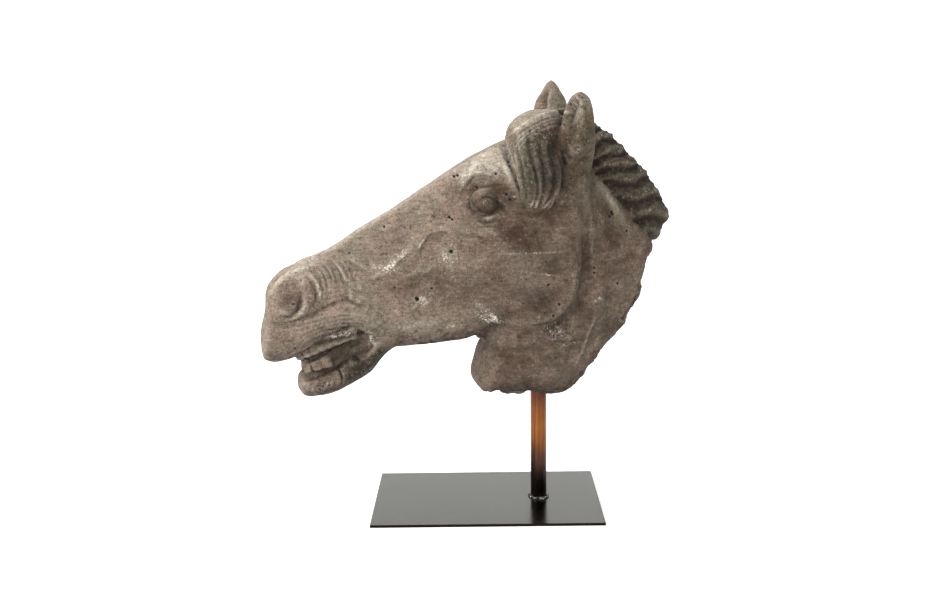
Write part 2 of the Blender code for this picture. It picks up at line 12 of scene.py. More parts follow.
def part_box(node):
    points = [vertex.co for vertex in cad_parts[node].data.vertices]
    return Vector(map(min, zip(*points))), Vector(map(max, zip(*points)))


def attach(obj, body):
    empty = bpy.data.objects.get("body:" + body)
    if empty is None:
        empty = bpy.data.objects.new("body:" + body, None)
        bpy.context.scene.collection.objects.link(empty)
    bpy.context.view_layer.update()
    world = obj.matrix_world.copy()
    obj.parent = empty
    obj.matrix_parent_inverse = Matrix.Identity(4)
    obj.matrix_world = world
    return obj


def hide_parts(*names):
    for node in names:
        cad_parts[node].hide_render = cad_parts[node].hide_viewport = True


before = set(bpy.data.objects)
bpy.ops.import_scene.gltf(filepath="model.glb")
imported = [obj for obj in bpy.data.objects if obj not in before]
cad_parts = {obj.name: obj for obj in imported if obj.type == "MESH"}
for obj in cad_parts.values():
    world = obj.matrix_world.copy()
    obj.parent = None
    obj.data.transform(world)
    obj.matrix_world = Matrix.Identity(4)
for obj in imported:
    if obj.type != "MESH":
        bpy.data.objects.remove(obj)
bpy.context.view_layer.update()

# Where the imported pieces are
ROD_LOW, ROD_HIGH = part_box("support_rod")
PLATE_LOW, PLATE_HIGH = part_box("base_plate")
HEAD_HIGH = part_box("horse_head")[1]
ROD_X = (ROD_LOW.x + ROD_HIGH.x) / 2
ROD_Y = (ROD_LOW.y + ROD_HIGH.y) / 2
SOCKET_DEPTH = 0.035
TOUCHING_GAP = 0.0003
WELD_WIDTH = 0.0022
WELD_HEIGHT = 0.0026
FOOT_OF_NECK = ROD_HIGH.z + TOUCHING_GAP - SOCKET_DEPTH

# The head's grid: u from the nose to the nape, y across, v upwards, with the rod's axis at u = y = 0 and the
# underside of the neck near v = 0. The tip of the right ear is the top of the whole piece.
HEAD_TURN_DEG = 12.0
HEAD_TOP_V = 324.05
HEAD_STEP = (HEAD_HIGH.z - FOOT_OF_NECK) / HEAD_TOP_V
BODY_VOXEL = 2.0
CARVING_VOXEL = 1.25
HEAD_TRIANGLES = 194000
POINTS_AROUND = 64
TURN = np.linspace(0, 2 * math.pi, POINTS_AROUND, endpoint=False)
RING_SPACING = 4.0

# Sides of the head: the horse's left looks towards -Y
LEFT = -1
RIGHT = 1
BOTH = (LEFT, RIGHT)
LEFT_ONLY = (LEFT,)

# Layers of dirt and wear that the tools leave on the stone, and of painted light and shade: the dark wash
# and the dirt are partly painted shade, in hollows, grooves, the eyes, the nostrils and the mouth and under
# overhangs, and the pale layer is partly painted highlight, on ridges and on faces turned upwards
LAYERS = ("dusk", "grime", "moss", "cream", "chalk", "pits", "rough")

# Ribs of each mass: top (u, v), bottom (u, v), then half widths at the top, a quarter down, half way,
# three quarters down and at the bottom
SKULL = (
    (-282, 104, -288, 80, 2, 4, 5, 4, 2),
    (-279, 119, -288, 62, 10, 20, 24, 24, 13),
    (-269, 131, -281, 51, 17, 32, 33, 31, 20),
    (-258, 143, -265, 51, 21, 37, 37, 34, 26),
    (-246, 152, -246, 57, 20, 36, 38, 36, 28),
    (-228, 158, -224, 70, 17, 29, 36, 37, 28),
    (-208, 168, -200, 76, 16, 25, 34, 37, 28),
    (-188, 181, -176, 63, 16, 24, 33, 35, 22),
    (-165, 194, -150, 58, 17, 27, 35, 33, 18),
    (-140, 208, -120, 59, 19, 31, 39, 34, 20),
    (-115, 224, -92, 61, 22, 38, 46, 37, 25),
    (-90, 239, -62, 65, 27, 48, 54, 45, 32),
    (-65, 252, -30, 70, 32, 56, 60, 54, 38),
    (-38, 265, 0, 76, 36, 61, 63, 60, 44),
    (-10, 274, 22, 90, 36, 61, 63, 60, 46),
    (15, 277, 34, 115, 34, 57, 60, 57, 44),
    (36, 272, 42, 150, 28, 46, 50, 48, 38),
    (50, 262, 48, 185, 12, 20, 22, 22, 16),
)
NECK = (
    (-60, 58, -73, 23, 12, 16, 16, 16, 14),
    (-53, 75, -67, 12, 30, 34, 36, 36, 34),
    (-40, 100, -49, 7, 38, 42, 44, 45, 42),
    (-15, 140, -20, 6, 42, 47, 49, 50, 46),
    (8, 180, 8, 1, 42, 50, 53, 54, 50),
    (24, 220, 24, 4, 40, 51, 55, 55, 50),
    (42, 256, 46, 25, 28, 48, 56, 55, 50),
    (66, 232, 67, 55, 20, 42, 54, 53, 48),
    (88, 206, 89, 79, 18, 38, 50, 50, 46),
    (101, 190, 101, 109, 16, 34, 45, 46, 42),
    (114, 176, 109, 142, 14, 26, 34, 34, 30),
    (124, 168, 121, 154, 6, 12, 14, 14, 12),
)
MANE = (
    (26, 283, 16, 250, 5, 8, 10, 12, 14),
    (45, 286, 32, 245, 8, 13, 17, 20, 22),
    (62, 279, 45, 235, 8, 14, 18, 22, 25),
    (79, 268, 57, 222, 8, 14, 18, 22, 26),
    (95, 252, 68, 206, 8, 14, 18, 22, 26),
    (112, 235, 80, 190, 8, 14, 18, 22, 26),
    (129, 212, 92, 174, 8, 14, 18, 22, 25),
    (141, 180, 102, 158, 8, 13, 17, 20, 23),
    (130, 160, 108, 148, 5, 9, 12, 14, 16),
)
LOWER_JAW = (
    (-253, 34, -254, 25, 3, 4, 5, 4, 3),
    (-250, 38, -250, 16, 15, 20, 20, 18, 12),
    (-238, 40, -235, 12, 20, 25, 25, 22, 15),
    (-222, 44, -216, 15, 22, 27, 28, 24, 16),
    (-205, 50, -197, 23, 24, 29, 30, 25, 16),
    (-188, 60, -178, 34, 25, 31, 31, 26, 16),
    (-176, 80, -164, 50, 25, 31, 31, 26, 16),
    (-160, 88, -150, 60, 18, 24, 24, 20, 12),
)
GUMS = (
    (-240, 64, -240, 34, 10, 13, 14, 13, 10),
    (-225, 76, -225, 34, 15, 17, 17, 17, 15),
    (-195, 88, -195, 44, 18, 20, 20, 20, 18),
    (-175, 88, -175, 56, 20, 22, 22, 22, 20),
)

# The parted forelock, level by level: v, middle (u, |y|), half sizes along u and y
FORELOCK = (
    (296, 4, 7, 12, 7),
    (293, 0, 12, 18, 11),
    (285, -6, 20, 26, 15),
    (271, -14, 33, 28, 14),
    (250, -13, 46, 26, 12),
    (230, -12, 55, 23, 10),
    (214, -12, 60, 20, 8),
    (205, -15, 61, 14, 6),
    (198, -17, 61, 8, 3),
)
FORELOCK_TIP = 198
RIGHT_FORELOCK_BACK = 16.5

# The front, middle and rear gaps between its locks, from the poll over the brow to the tip
FORELOCK_GAPS = (
    ((21, 295), (7, 297), (-10, 296), (-29, 286), (-40, 270), (-40, 255), (-37, 238), (-33, 220),
     (-29, 203)),
    ((16, 288), (4, 288), (-8, 286), (-17, 279), (-22, 267), (-21, 254), (-18, 238), (-18, 221),
     (-23, 203)),
    ((12, 276), (11, 272), (10, 268), (9, 262), (9, 254), (10, 245), (10, 234), (7, 218), (-4, 203)),
)
# Lines down the forelock, each as its share of the way from front to rear and how high it stands: gaps are
# negative, and thin ridges lie between them
FORELOCK_LINES = ((0.0, -0.5), (0.14, -0.7), (0.33, -0.3), (0.5, -1.0), (0.67, -1.0), (0.84, -1.1),
                  (1.0, -0.9), (0.24, 0.3), (0.42, 0.3), (0.585, 0.5), (0.755, 0.9), (0.92, 0.8))
MANE_LOCKS = 8
MANE_FAN_MIDDLE = (-32.0, 212.0)
MANE_FAN_DEG = (-20.0, 42.0)

# The tuft at the poll from which both halves of the forelock spring
POLL_TUFT = (8.0, 0.0, 279.0)
POLL_TUFT_HALF_SIZES = (24.0, 17.0, 14.5)

# Ears: roots and tips (u, |y|, v), and where their cups open, from backwards over outwards to forwards. The
# left one has lost its point.
LEFT_EAR_ROOT = (28.0, 37.0, 222.0)
LEFT_EAR_TIP = (31.0, 45.0, 314.0)
RIGHT_EAR_ROOT = (20.0, 37.0, 222.0)
RIGHT_EAR_TIP = (27.0, 45.0, 325.0)
LEFT_EAR_OPENING_DEG = 136.0
RIGHT_EAR_OPENING_DEG = 212.0
EAR_OPENING_HALF_DEG = 40.0

# Along an ear, from its root to its tip: shares of the way, its half sizes along u and y, and what a blunt
# tip adds to both
EAR_SHARES = (0, 0.12, 0.3, 0.6, 0.8, 0.9, 0.96, 1)
EAR_HALF_U = (8, 15, 18.5, 17.5, 14.5, 8, 5, 1.2)
EAR_HALF_Y = (6, 11, 14, 12, 9.5, 6, 3, 1.2)
BLUNT_HALF_U = (0, 0, 0, 0, 0, 3, 2, 0)
BLUNT_HALF_Y = (0, 0, 0, 0, 0, 2, 2, 0)
EAR_LEVELS = 40

EYE = (-66.0, 43.0, 207.0)
EYE_RADIUS = 13.5
NOSTRIL = (-257.0, 121.0)
MOUTH = (
    (-262, 57), (-256, 61), (-245, 65), (-227, 74), (-204, 79), (-188, 80), (-179, 74),
    (-177, 65), (-183, 59), (-195, 53), (-210, 48), (-225, 42), (-242, 36), (-262, 34),
)
MOUTH_HALF_WIDTH = 15.0
BREAK_FACING = (0.82, 0.0, -0.57)
UPPER_TEETH = ((-249, 0, 56), (-248, 7, 57), (-241, 14, 62), (-230, 18.5, 67), (-204, 22, 77),
               (-194, 23, 80))
LOWER_TEETH = ((-244, 0, 43), (-243, 6, 44), (-238, 13, 46), (-229, 17, 49), (-219, 19, 52))
UPPER_TEETH_EACH_SIDE = 8
LOWER_TEETH_EACH_SIDE = 3
TOOTH_DEPTH = 9.0
TOOTH_HEIGHT = 12.0
TOOTH_ROUNDING = 1.6


def spline(knots, values, at):
    """Reads a smooth curve that passes through each value at its knot."""
    knots = np.asarray(knots, float)
    values = np.asarray(values, float)
    at = np.clip(np.asarray(at, float), knots[0], knots[-1])
    slopes = np.gradient(values, knots, axis=0)
    i = np.clip(np.searchsorted(knots, at, side="right") - 1, 0, len(knots) - 2)
    span = knots[i + 1] - knots[i]
    t = (at - knots[i]) / span
    for _ in range(values.ndim - 1):
        t = t[..., None]
        span = span[..., None]
    start = (2 * t**3 - 3 * t**2 + 1) * values[i] + (t**3 - 2 * t**2 + t) * span * slopes[i]
    end = (3 * t**2 - 2 * t**3) * values[i + 1] + (t**3 - t**2) * span * slopes[i + 1]
    return start + end


def run_along(points):
    """Distance travelled at each point of a path."""
    steps = np.linalg.norm(np.diff(points, axis=0), axis=1)
    return np.concatenate([[0], np.cumsum(steps)])


def traced(points, spacing=2.5):
    """A smooth path through the given points."""
    points = np.array(points, float)
    run = run_along(points)
    return spline(run, points, np.linspace(0, run[-1], max(3, int(run[-1] / spacing))))


def smooth_step(x, low, high):
    """Rises gently from 0 at the low end to 1 at the high end."""
    t = np.clip((x - low) / (high - low), 0, 1)
    return t * t * (3 - 2 * t)


def mottle(at, size, seed, lattice=24):
    """Smooth unevenness between -1 and 1, in lumps of about the given size."""
    values = np.random.default_rng(seed).uniform(-1, 1, (lattice,) * 3)
    cell = np.asarray(at) / size
    low = np.floor(cell).astype(int)
    t = smooth_step(cell - low, 0, 1)
    total = np.zeros(len(cell))
    for corner in np.ndindex(2, 2, 2):
        weight = np.prod(np.where(corner, t, 1 - t), axis=1)
        total += weight * values[tuple(((low + corner) % lattice).T)]
    return total


def mesh_from(bm, name):
    mesh = bpy.data.meshes.new(name)
    bm.to_mesh(mesh)
    bm.free()
    return mesh


def lofted(rings, name):
    """A closed skin over rows of rings, with its first and last ring filled."""
    rings = np.asarray(rings, float)
    rows, around = rings.shape[:2]
    bm = bmesh.new()
    bmesh.ops.create_grid(bm, x_segments=around, y_segments=rows - 1, size=1.0)
    seamed = np.concatenate([rings, rings[:, :1]], axis=1).reshape(-1, 3)
    for vert, place in zip(bm.verts, seamed):
        vert.co = place
    bmesh.ops.remove_doubles(bm, verts=bm.verts, dist=1e-4)
    bmesh.ops.holes_fill(bm, edges=bm.edges, sides=0)
    bmesh.ops.recalc_face_normals(bm, faces=bm.faces)
    return mesh_from(bm, name)


def ribbed_mass(ribs, name, fullness=0.62):
    """A mass over upright ribs; a lower fullness makes their section squarer."""
    table = np.array(ribs, float)
    run = run_along((table[:, 0:2] + table[:, 2:4]) / 2)
    rows = spline(run, table, np.linspace(0, run[-1], max(8, int(run[-1] / RING_SPACING))))
    angle = np.linspace(0, math.pi, POINTS_AROUND // 2 + 1)
    down = (1 - np.cos(angle)) / 2
    rings = []
    for row in rows:
        out = spline((0, 0.25, 0.5, 0.75, 1), row[4:9], down) * np.sin(angle) ** fullness
        u = row[0] + (row[2] - row[0]) * down
        v = row[1] + (row[3] - row[1]) * down
        left = np.stack([u, -out, v], 1)
        right = np.stack([u, out, v], 1)[-2:0:-1]
        rings.append(np.concatenate([left, right]))
    return lofted(rings, name)


def forelock_shift(side, v):
    """The right half of the forelock lies further back than the left one."""
    back = RIGHT_FORELOCK_BACK if side == RIGHT else 0.0
    return back * np.clip((v - FORELOCK_TIP) / 40, 0, 1)


def level_ring(middle, half_u, half_y):
    """A level oval; its half sizes may differ from point to point."""
    ring = np.tile(np.array(middle, float), (POINTS_AROUND, 1))
    ring[:, 0] += half_u * np.cos(TURN)
    ring[:, 1] += half_y * np.sin(TURN)
    return ring


def forelock_mass(side):
    """One half of the forelock, from the cap over the poll down to its tip."""
    table = np.array(FORELOCK, float)[::-1]
    rows = spline(table[:, 0], table, np.linspace(table[0, 0], table[-1, 0], 40))
    rings = []
    for v, u, y, half_u, half_y in rows:
        middle = u + forelock_shift(side, v)
        rings.append(level_ring((middle, side * y, v), half_u, side * half_y))
    return lofted(rings, "forelock")


def ear_mass(side, root, tip, opening_deg, blunt, breadth=1.0):
    """A leaf-shaped ear, level by level, with the hollow of its cup on one side."""
    root = np.array(root)
    rise = np.array(tip) - root
    off_opening = np.angle(np.exp(1j * (TURN - math.radians(opening_deg))))
    half_sizes_u = np.array(EAR_HALF_U) + blunt * np.array(BLUNT_HALF_U)
    half_sizes_y = np.array(EAR_HALF_Y) + blunt * np.array(BLUNT_HALF_Y)
    rings = []
    for t in 1 - np.linspace(1, 0, EAR_LEVELS) ** 1.5:
        half_u = breadth * spline(EAR_SHARES, half_sizes_u, t)
        half_y = spline(EAR_SHARES, half_sizes_y, t)
        cup = 0.68 * smooth_step(t, 0.36, 0.66) * (1 - smooth_step(t, 0.86, 0.98))
        opening = math.radians(EAR_OPENING_HALF_DEG) * (0.4 + 0.6 * smooth_step(t, 0.36, 0.7))
        reach = 1 - cup * np.exp(-((off_opening / opening) ** 4))
        u, y, v = root + rise * t
        rings.append(level_ring((u, side * y, v), half_u * reach, side * half_y * reach))
    return lofted(rings, "ear")


def ball(at, half_sizes, name):
    """A round or oval lump."""
    bm = bmesh.new()
    bmesh.ops.create_icosphere(bm, subdivisions=5, radius=1.0)
    bmesh.ops.scale(bm, verts=bm.verts, vec=half_sizes)
    bmesh.ops.translate(bm, verts=bm.verts, vec=at)
    return mesh_from(bm, name)


def tooth(at, width, heading, tilt):
    """A block with worn edges."""
    bm = bmesh.new()
    bmesh.ops.create_cube(bm, size=1.0)
    bmesh.ops.scale(bm, verts=bm.verts, vec=(width, TOOTH_DEPTH, TOOTH_HEIGHT))
    bmesh.ops.bevel(bm, geom=bm.edges, offset=TOOTH_ROUNDING, segments=3, affect="EDGES", profile=0.5,
                     material=-1)
    stance = Matrix.Rotation(heading, 4, "Z") @ Matrix.Rotation(tilt, 4, "Y")
    bmesh.ops.transform(bm, matrix=Matrix.Translation(at) @ stance, verts=bm.verts)
    return mesh_from(bm, "tooth")


def tooth_row(arch, each_side):
    """Teeth side by side on an arch given from the front to its left end, and mirrored to the right."""
    path = traced(arch)
    run = run_along(path)
    pitch = run[-1] / (each_side + 0.5)
    row = []
    for k in range(-each_side, each_side + 1):
        along = abs(k) * pitch
        at = spline(run, path, along)
        ahead = spline(run, path, min(along + 1, run[-1])) - spline(run, path, max(along - 1, 0))
        side = LEFT if k > 0 else RIGHT
        heading = math.atan2(side * ahead[1], ahead[0])
        tilt = -math.atan2(ahead[2], math.hypot(ahead[0], ahead[1]))
        row.append(tooth((at[0], side * at[1], at[2]), 0.9 * pitch, heading, tilt))
    return row


def settled(obj):
    """The mesh of an object with its modifiers applied; the object itself is removed."""
    graph = bpy.context.evaluated_depsgraph_get()
    mesh = bpy.data.meshes.new_from_object(obj.evaluated_get(graph))
    bpy.data.objects.remove(obj)
    return mesh


def shown(data, name):
    """Puts a mesh, light or camera into the scene."""
    obj = bpy.data.objects.new(name, data)
    bpy.context.scene.collection.objects.link(obj)
    return obj


def fused(masses, voxel):
    """One closed skin over masses that run into each other."""
    bm = bmesh.new()
    for mesh in masses:
        bm.from_mesh(mesh)
        bpy.data.meshes.remove(mesh)
    obj = shown(mesh_from(bm, "masses"), "masses")
    remesh = obj.modifiers.new("one skin", "REMESH")
    remesh.mode = "VOXEL"
    remesh.voxel_size = voxel
    return settled(obj)


def path_offsets(flat, path):
    """For each (u, v): distance to the path, the same with a sign, positive on its left, and share run."""
    start, step = path[:-1], np.diff(path, axis=0)
    length = np.linalg.norm(step, axis=1)
    to_point = flat[:, None, :] - start[None]
    t = np.clip((to_point * step).sum(2) / length**2, 0, 1)
    off = to_point - t[..., None] * step
    nearest = (off**2).sum(2).argmin(1)
    each = np.arange(len(flat))
    off = off[each, nearest]
    distance = np.linalg.norm(off, axis=1)
    side = step[nearest, 0] * off[:, 1] - step[nearest, 1] * off[:, 0]
    share = (run_along(path)[nearest] + t[each, nearest] * length[nearest]) / length.sum()
    return distance, np.sign(side) * distance, share


def within(flat, outline):
    """True for each (u, v) inside a closed outline."""
    u, v = flat.T
    hit = np.zeros(len(flat), bool)
    corners = np.asarray(outline, float)
    for (u1, v1), (u2, v2) in zip(corners, np.roll(corners, -1, axis=0)):
        spans = (v1 > v) != (v2 > v)
        crossing = u1 + (u2 - u1) * (v - v1) / np.where(v2 == v1, 1, v2 - v1)
        hit ^= spans & (u < crossing)
    return hit


class Carving:
    """The head's points, moved, soiled and painted with light and shade by tools whose places are given in
    side view as (u, v).

    Tools for fine work leave surfaces that face inwards alone, and wander a little on the right side, so
    that the two sides aren't mirror images. What they add up to moves the surface at the next cut.
    """

    def __init__(self, mesh, fine=False):
        self.mesh = mesh
        self.fine = fine
        self.at = np.empty(len(mesh.vertices) * 3)
        mesh.vertices.foreach_get("co", self.at)
        self.at = self.at.reshape(-1, 3)
        ends = np.empty(len(mesh.edges) * 2, np.int64)
        mesh.edges.foreach_get("vertices", ends)
        ends = ends.reshape(-1, 2)
        self.pairs = np.concatenate([ends, ends[:, ::-1]])
        self.neighbours = np.bincount(self.pairs[:, 0], minlength=len(self.at))
        self.layers = {name: np.zeros(len(self.at)) for name in LAYERS}
        self.update()

    def update(self):
        self.mesh.vertices.foreach_set("co", self.at.ravel())
        self.mesh.update()
        outwards = np.empty(self.at.size)
        self.mesh.vertices.foreach_get("normal", outwards)
        self.outwards = outwards.reshape(-1, 3)
        self.lift = np.zeros(len(self.at))

    def cut(self):
        """Moves the surface along its normals by what the tools have added up to."""
        self.at = self.at + self.outwards * self.lift[:, None]
        self.update()

    def evened(self, values, rounds):
        """Values at the points, averaged with their neighbours again and again."""
        here, there = self.pairs.T
        for _ in range(rounds):
            sums = [np.bincount(here, column[there], len(column)) for column in values.T]
            values = (values + np.stack(sums, 1) / self.neighbours[:, None]) / 2
        return values

    def rub(self, rounds):
        """Softens the whole surface."""
        self.at = self.evened(self.at, rounds)
        self.update()

    def hollowness(self, rounds):
        """How deep each point lies in a hollow, negative on what stands proud."""
        return ((self.evened(self.at, rounds) - self.at) * self.outwards).sum(1)

    def reached(self, points, reach, side):
        """Indices of the points of one side that lie near the given ones in side view."""
        low, high = np.min(points, 0) - reach, np.max(points, 0) + reach
        u, y, v = self.at.T
        near = (u > low[0]) & (u < high[0]) & (v > low[1]) & (v < high[1]) & (side * y > 2)
        return np.nonzero(near)[0]

    def seen(self, i, side):
        """Places of some points in side view, as the tools see them."""
        flat = self.at[i][:, [0, 2]]
        if self.fine and side == RIGHT:
            flat = flat + 1.6 * np.sin(flat[:, ::-1] / 19 + (0.4, 2.0))
        return flat

    def hold(self, i, side):
        """Tools fade out towards the middle of the head."""
        hold = smooth_step(side * self.at[i, 1], 3, 12)
        if self.fine:
            hold *= smooth_step(side * self.outwards[i, 1], -0.15, 0.2)
        return hold

    def press(self, i, shape, height, layers):
        """Adds a tool's mark to some points: its height, and the strongest of each layer."""
        self.lift[i] += height * shape
        for name, amount in layers.items():
            self.layers[name][i] = np.maximum(self.layers[name][i], amount * shape)

    def oval(self, at, radius, long, lean_deg, edge, side):
        """Points near a place, with how strongly an oval tool works on each."""
        c, s = math.cos(math.radians(lean_deg)), math.sin(math.radians(lean_deg))
        i = self.reached([at], radius * long * 2.2, side)
        du, dv = (self.seen(i, side) - at).T
        along, across = (du * c + dv * s) / (radius * long), (dv * c - du * s) / radius
        return i, self.hold(i, side) * np.exp(-(np.hypot(along, across) ** edge))

    def dab(self, at, height, radius, long=1.0, lean_deg=0.0, edge=2.0, sides=BOTH, **layers):
        """A round or oval swelling, or a hollow where height is negative."""
        for side in sides:
            i, shape = self.oval(at, radius, long, lean_deg, edge, side)
            self.press(i, shape, height, layers)

    def stroke(self, points, height, left, right=None, ends=0.15, sides=BOTH, edge=2.0, **layers):
        """A ridge along a curve, or a groove where height is negative.

        left and right are its widths to each side of the curve; ends is the share that tapers.
        """
        right = left if right is None else right
        path = traced(points)
        for side in sides:
            i = self.reached(path, 2.4 * max(left, right), side)
            if not len(i):
                continue
            distance, signed, share = path_offsets(self.seen(i, side), path)
            width = np.where(signed > 0, left, right)
            taper = np.clip(np.minimum(share, 1 - share) / ends, 0, 1) ** 0.7
            shape = self.hold(i, side) * taper * np.exp(-((distance / width) ** edge))
            self.press(i, shape, height, layers)


def model_main_forms(clay):
    # Socket of the eye under its brow, and the hollow in front of it
    clay.dab((-64, 216), 4, 28)
    clay.dab((-66, 208), -6, 17, edge=3)
    clay.dab((-100, 192), -4, 14, long=1.7, lean_deg=35)
    # Cheek bone, with a hollow below it
    clay.stroke([(-140, 150), (-133, 165), (-122, 177), (-106, 181), (-76, 179), (-50, 172)], 3.2, 9, 3.5)
    clay.stroke([(-150, 142), (-126, 160), (-98, 166), (-66, 162)], -3.5, 9)
    # Round plate of the jaw muscle, with a groove behind it
    clay.stroke([(20, 205), (24, 170), (25, 135), (18, 108), (0, 92), (-36, 87), (-60, 92)], 3.5, 6, 20)
    clay.stroke([(32, 205), (38, 170), (38, 130), (28, 100), (6, 80), (-36, 72)], -4, 7)
    # Hollow beside the bridge of the nose, and the swelling over the cheek teeth
    clay.stroke([(-225, 136), (-190, 146), (-155, 160), (-135, 180)], -2.5, 9)
    clay.stroke([(-205, 112), (-180, 118), (-150, 124), (-110, 128)], 2.5, 12)
    # Upper lip
    clay.dab((-262, 92), -3, 12, long=1.6, lean_deg=-10)
    clay.dab((-272, 72), 2.5, 15)
    # Flare of the nostril
    clay.dab(NOSTRIL, 6, 23, edge=4)
    clay.cut()
    # Muscles of the neck and the fold under the throat
    clay.stroke([(52, 120), (44, 90), (34, 66), (24, 36)], 3, 7)
    clay.stroke([(66, 200), (78, 160), (80, 120)], -3, 14)
    clay.stroke([(-66, 58), (-40, 57), (-10, 60), (14, 72)], -3, 5)
    clay.cut()


def open_mouth(clay):
    """Sinks both flanks between the lips, which leaves room for the gums and teeth."""
    for side in BOTH:
        i = clay.reached(MOUTH, 0, side)
        i = i[within(clay.at[i][:, [0, 2]], MOUTH)]
        clay.at[i, 1] = side * np.minimum(side * clay.at[i, 1], MOUTH_HALF_WIDTH)
    clay.update()


def carve_fan(clay, first, last, ridges, height, width, cream=0.25, grime=0.3):
    """Soft ridges that run evenly spaced from the first path to the last, with grooves between them; the
    ridges are paled, partly wear and partly painted highlight, and the grooves darkened, partly dirt and
    partly painted shade.
    """
    first, last = np.array(first, float), np.array(last, float)
    for k, share in enumerate(np.linspace(0, 1, 2 * ridges - 1)):
        path = first + (last - first) * share
        path += 0.6 * np.sin(2.1 * k + np.arange(len(path)))[:, None]
        strength = 1 + 0.35 * math.sin(1.7 * k)
        if k % 2:
            clay.stroke(path, -height * strength, width, ends=0.35, grime=grime * strength)
        else:
            clay.stroke(path, height * strength, width, ends=0.35, cream=cream * strength)
    clay.cut()


def carve_nostril(clay):
    # The bowl and the knob in it, with the hollow beside the knob darkened as painted shade
    clay.dab(NOSTRIL, -4.5, 14.5, edge=6)
    clay.dab((-256, 116), 1.6, 6)
    clay.dab((-261, 123), -1.6, 4.0, grime=0.6)
    clay.cut()
    # The crescent below the bowl, darkened as painted shade, and the lip outside it and the thin rim above
    # it, paled as painted highlights
    clay.stroke([(-250, 126), (-249, 118), (-252, 110), (-259, 103), (-270, 100)], -1.7, 2.4, ends=0.35,
                grime=0.6)
    clay.stroke([(-245, 126), (-245, 114), (-251, 104), (-260, 98)], 0.9, 2.2, ends=0.4, cream=0.3)
    clay.stroke([(-278, 121), (-272, 129), (-266, 136), (-259, 141), (-250, 144), (-241, 146), (-231, 149)],
                1.4, 1.6, 2.2, ends=0.25, cream=0.6)
    # Rings around it, paled on top as painted highlights with a groove darkened as painted shade, then folds
    # that fan out from the top of the nose
    clay.stroke([(-243, 143), (-239, 141), (-234, 136), (-231, 130), (-229, 123), (-232, 115)], 1.4, 1.6,
                2.2, ends=0.3, cream=0.5)
    clay.stroke([(-244, 139), (-238, 134), (-234, 127), (-234, 118), (-239, 110)], -1.0, 1.5, ends=0.35,
                grime=0.4)
    clay.cut()
    carve_fan(clay, [(-232, 145), (-227, 138), (-225, 128), (-226, 117)],
              [(-208, 154), (-203, 147), (-199, 139), (-198, 132)], ridges=6, height=0.25, width=1.1,
              cream=0.4, grime=0.2)
    carve_fan(clay, [(-240, 152), (-229, 147), (-221, 138), (-217, 126), (-221, 113), (-231, 104)],
              [(-219, 160), (-206, 154), (-196, 143), (-190, 128), (-192, 114), (-203, 105)], ridges=4,
              height=0.2, width=1.4, cream=0.2, grime=0.12)
    clay.stroke([(-203, 158), (-194, 151), (-185, 144)], 0.8, 1.6, ends=0.4, cream=0.3)
    # The deep fold that runs back below them, darkened as painted shade
    clay.stroke([(-262, 95), (-247, 99), (-236, 104), (-226, 109), (-216, 113), (-204, 115), (-192, 110)],
                -1.6, 2.6, ends=0.3, grime=0.5)
    clay.stroke([(-212, 123), (-204, 117), (-195, 111), (-184, 108)], -1.3, 2.0, ends=0.35, grime=0.45)
    clay.stroke([(-281, 99), (-271, 95), (-260, 96)], -0.8, 2.0, ends=0.4, grime=0.35)
    clay.cut()


def carve_lips(clay):
    # Fine lines that flow along the upper lip and around the corner of the mouth
    carve_fan(clay, [(-272, 92), (-250, 95), (-228, 100), (-205, 102), (-184, 97), (-168, 86), (-163, 74)],
              [(-255, 72), (-243, 76), (-225, 82), (-205, 84), (-190, 84), (-179, 78), (-175, 69)],
              ridges=5, height=0.18, width=1.3, cream=0.12, grime=0.14)
    carve_fan(clay, [(-178, 106), (-165, 96), (-159, 85), (-161, 72)],
              [(-166, 110), (-153, 98), (-147, 85), (-151, 69)], ridges=4, height=0.22, width=1.4,
              cream=0.15, grime=0.2)
    # Rolled edges of both lips, and the worn, crumbling one of the upper lip
    clay.stroke([(-284, 60), (-272, 55), (-259, 60), (-247, 66), (-230, 74), (-208, 80), (-190, 82)], 1.2,
                2.4)
    clay.stroke([(-246, 34), (-232, 38), (-217, 44), (-202, 52), (-188, 57)], 0.9, 2.0)
    clay.stroke([(-226, 77), (-212, 79), (-200, 81), (-190, 84), (-180, 77), (-178, 69), (-183, 62)], 0.7,
                1.8, rough=0.8)
    clay.cut()
    # Inside: the gum and the smooth bar behind the teeth, darkened partly as painted shade, and the gaps
    # above and below it, painted dark as shadow
    clay.stroke([(-238, 68), (-225, 73), (-208, 77), (-193, 78)], -1.0, 3.5, grime=0.6, moss=0.6, dusk=0.9)
    clay.stroke([(-224, 51), (-211, 57), (-197, 66), (-185, 71)], 1.6, 4.5, dusk=1.0, grime=0.55)
    clay.stroke([(-246, 48), (-235, 54), (-222, 61), (-208, 68), (-197, 72)], -1.6, 1.4, grime=1.0)
    clay.stroke([(-246, 33), (-232, 37), (-217, 43), (-203, 51), (-190, 58)], -1.2, 2.0, grime=0.8)
    # The lower lip is cracked through, and broken and black behind the crack
    clay.stroke([(-213, 45), (-211, 38), (-210, 30), (-212, 24)], -1.8, 1.2, grime=1.0)
    clay.dab((-193, 39), -2.0, 12, long=1.6, lean_deg=38, edge=4, dusk=1.0, moss=0.6, grime=0.85, rough=0.9)
    clay.dab((-174, 52), -1.0, 9, long=1.7, lean_deg=45, edge=4, dusk=1.0, moss=0.6, grime=0.75, rough=0.9)
    clay.dab((-228, 26), 0, 10, long=1.5, edge=3, rough=0.8)
    for place, height, radius in (((-203, 35), -1.5, 3.5), ((-196, 43), 1.3, 3.0), ((-190, 38), -1.6, 3.0),
                                  ((-184, 47), 1.0, 3.0), ((-181, 54), -1.5, 3.0), ((-194, 52), -1.3, 2.5)):
        clay.dab(place, height, radius, edge=3, grime=0.75, rough=1.0)
    clay.dab((-200, 49), 1.2, 2.2, cream=0.4)
    clay.cut()


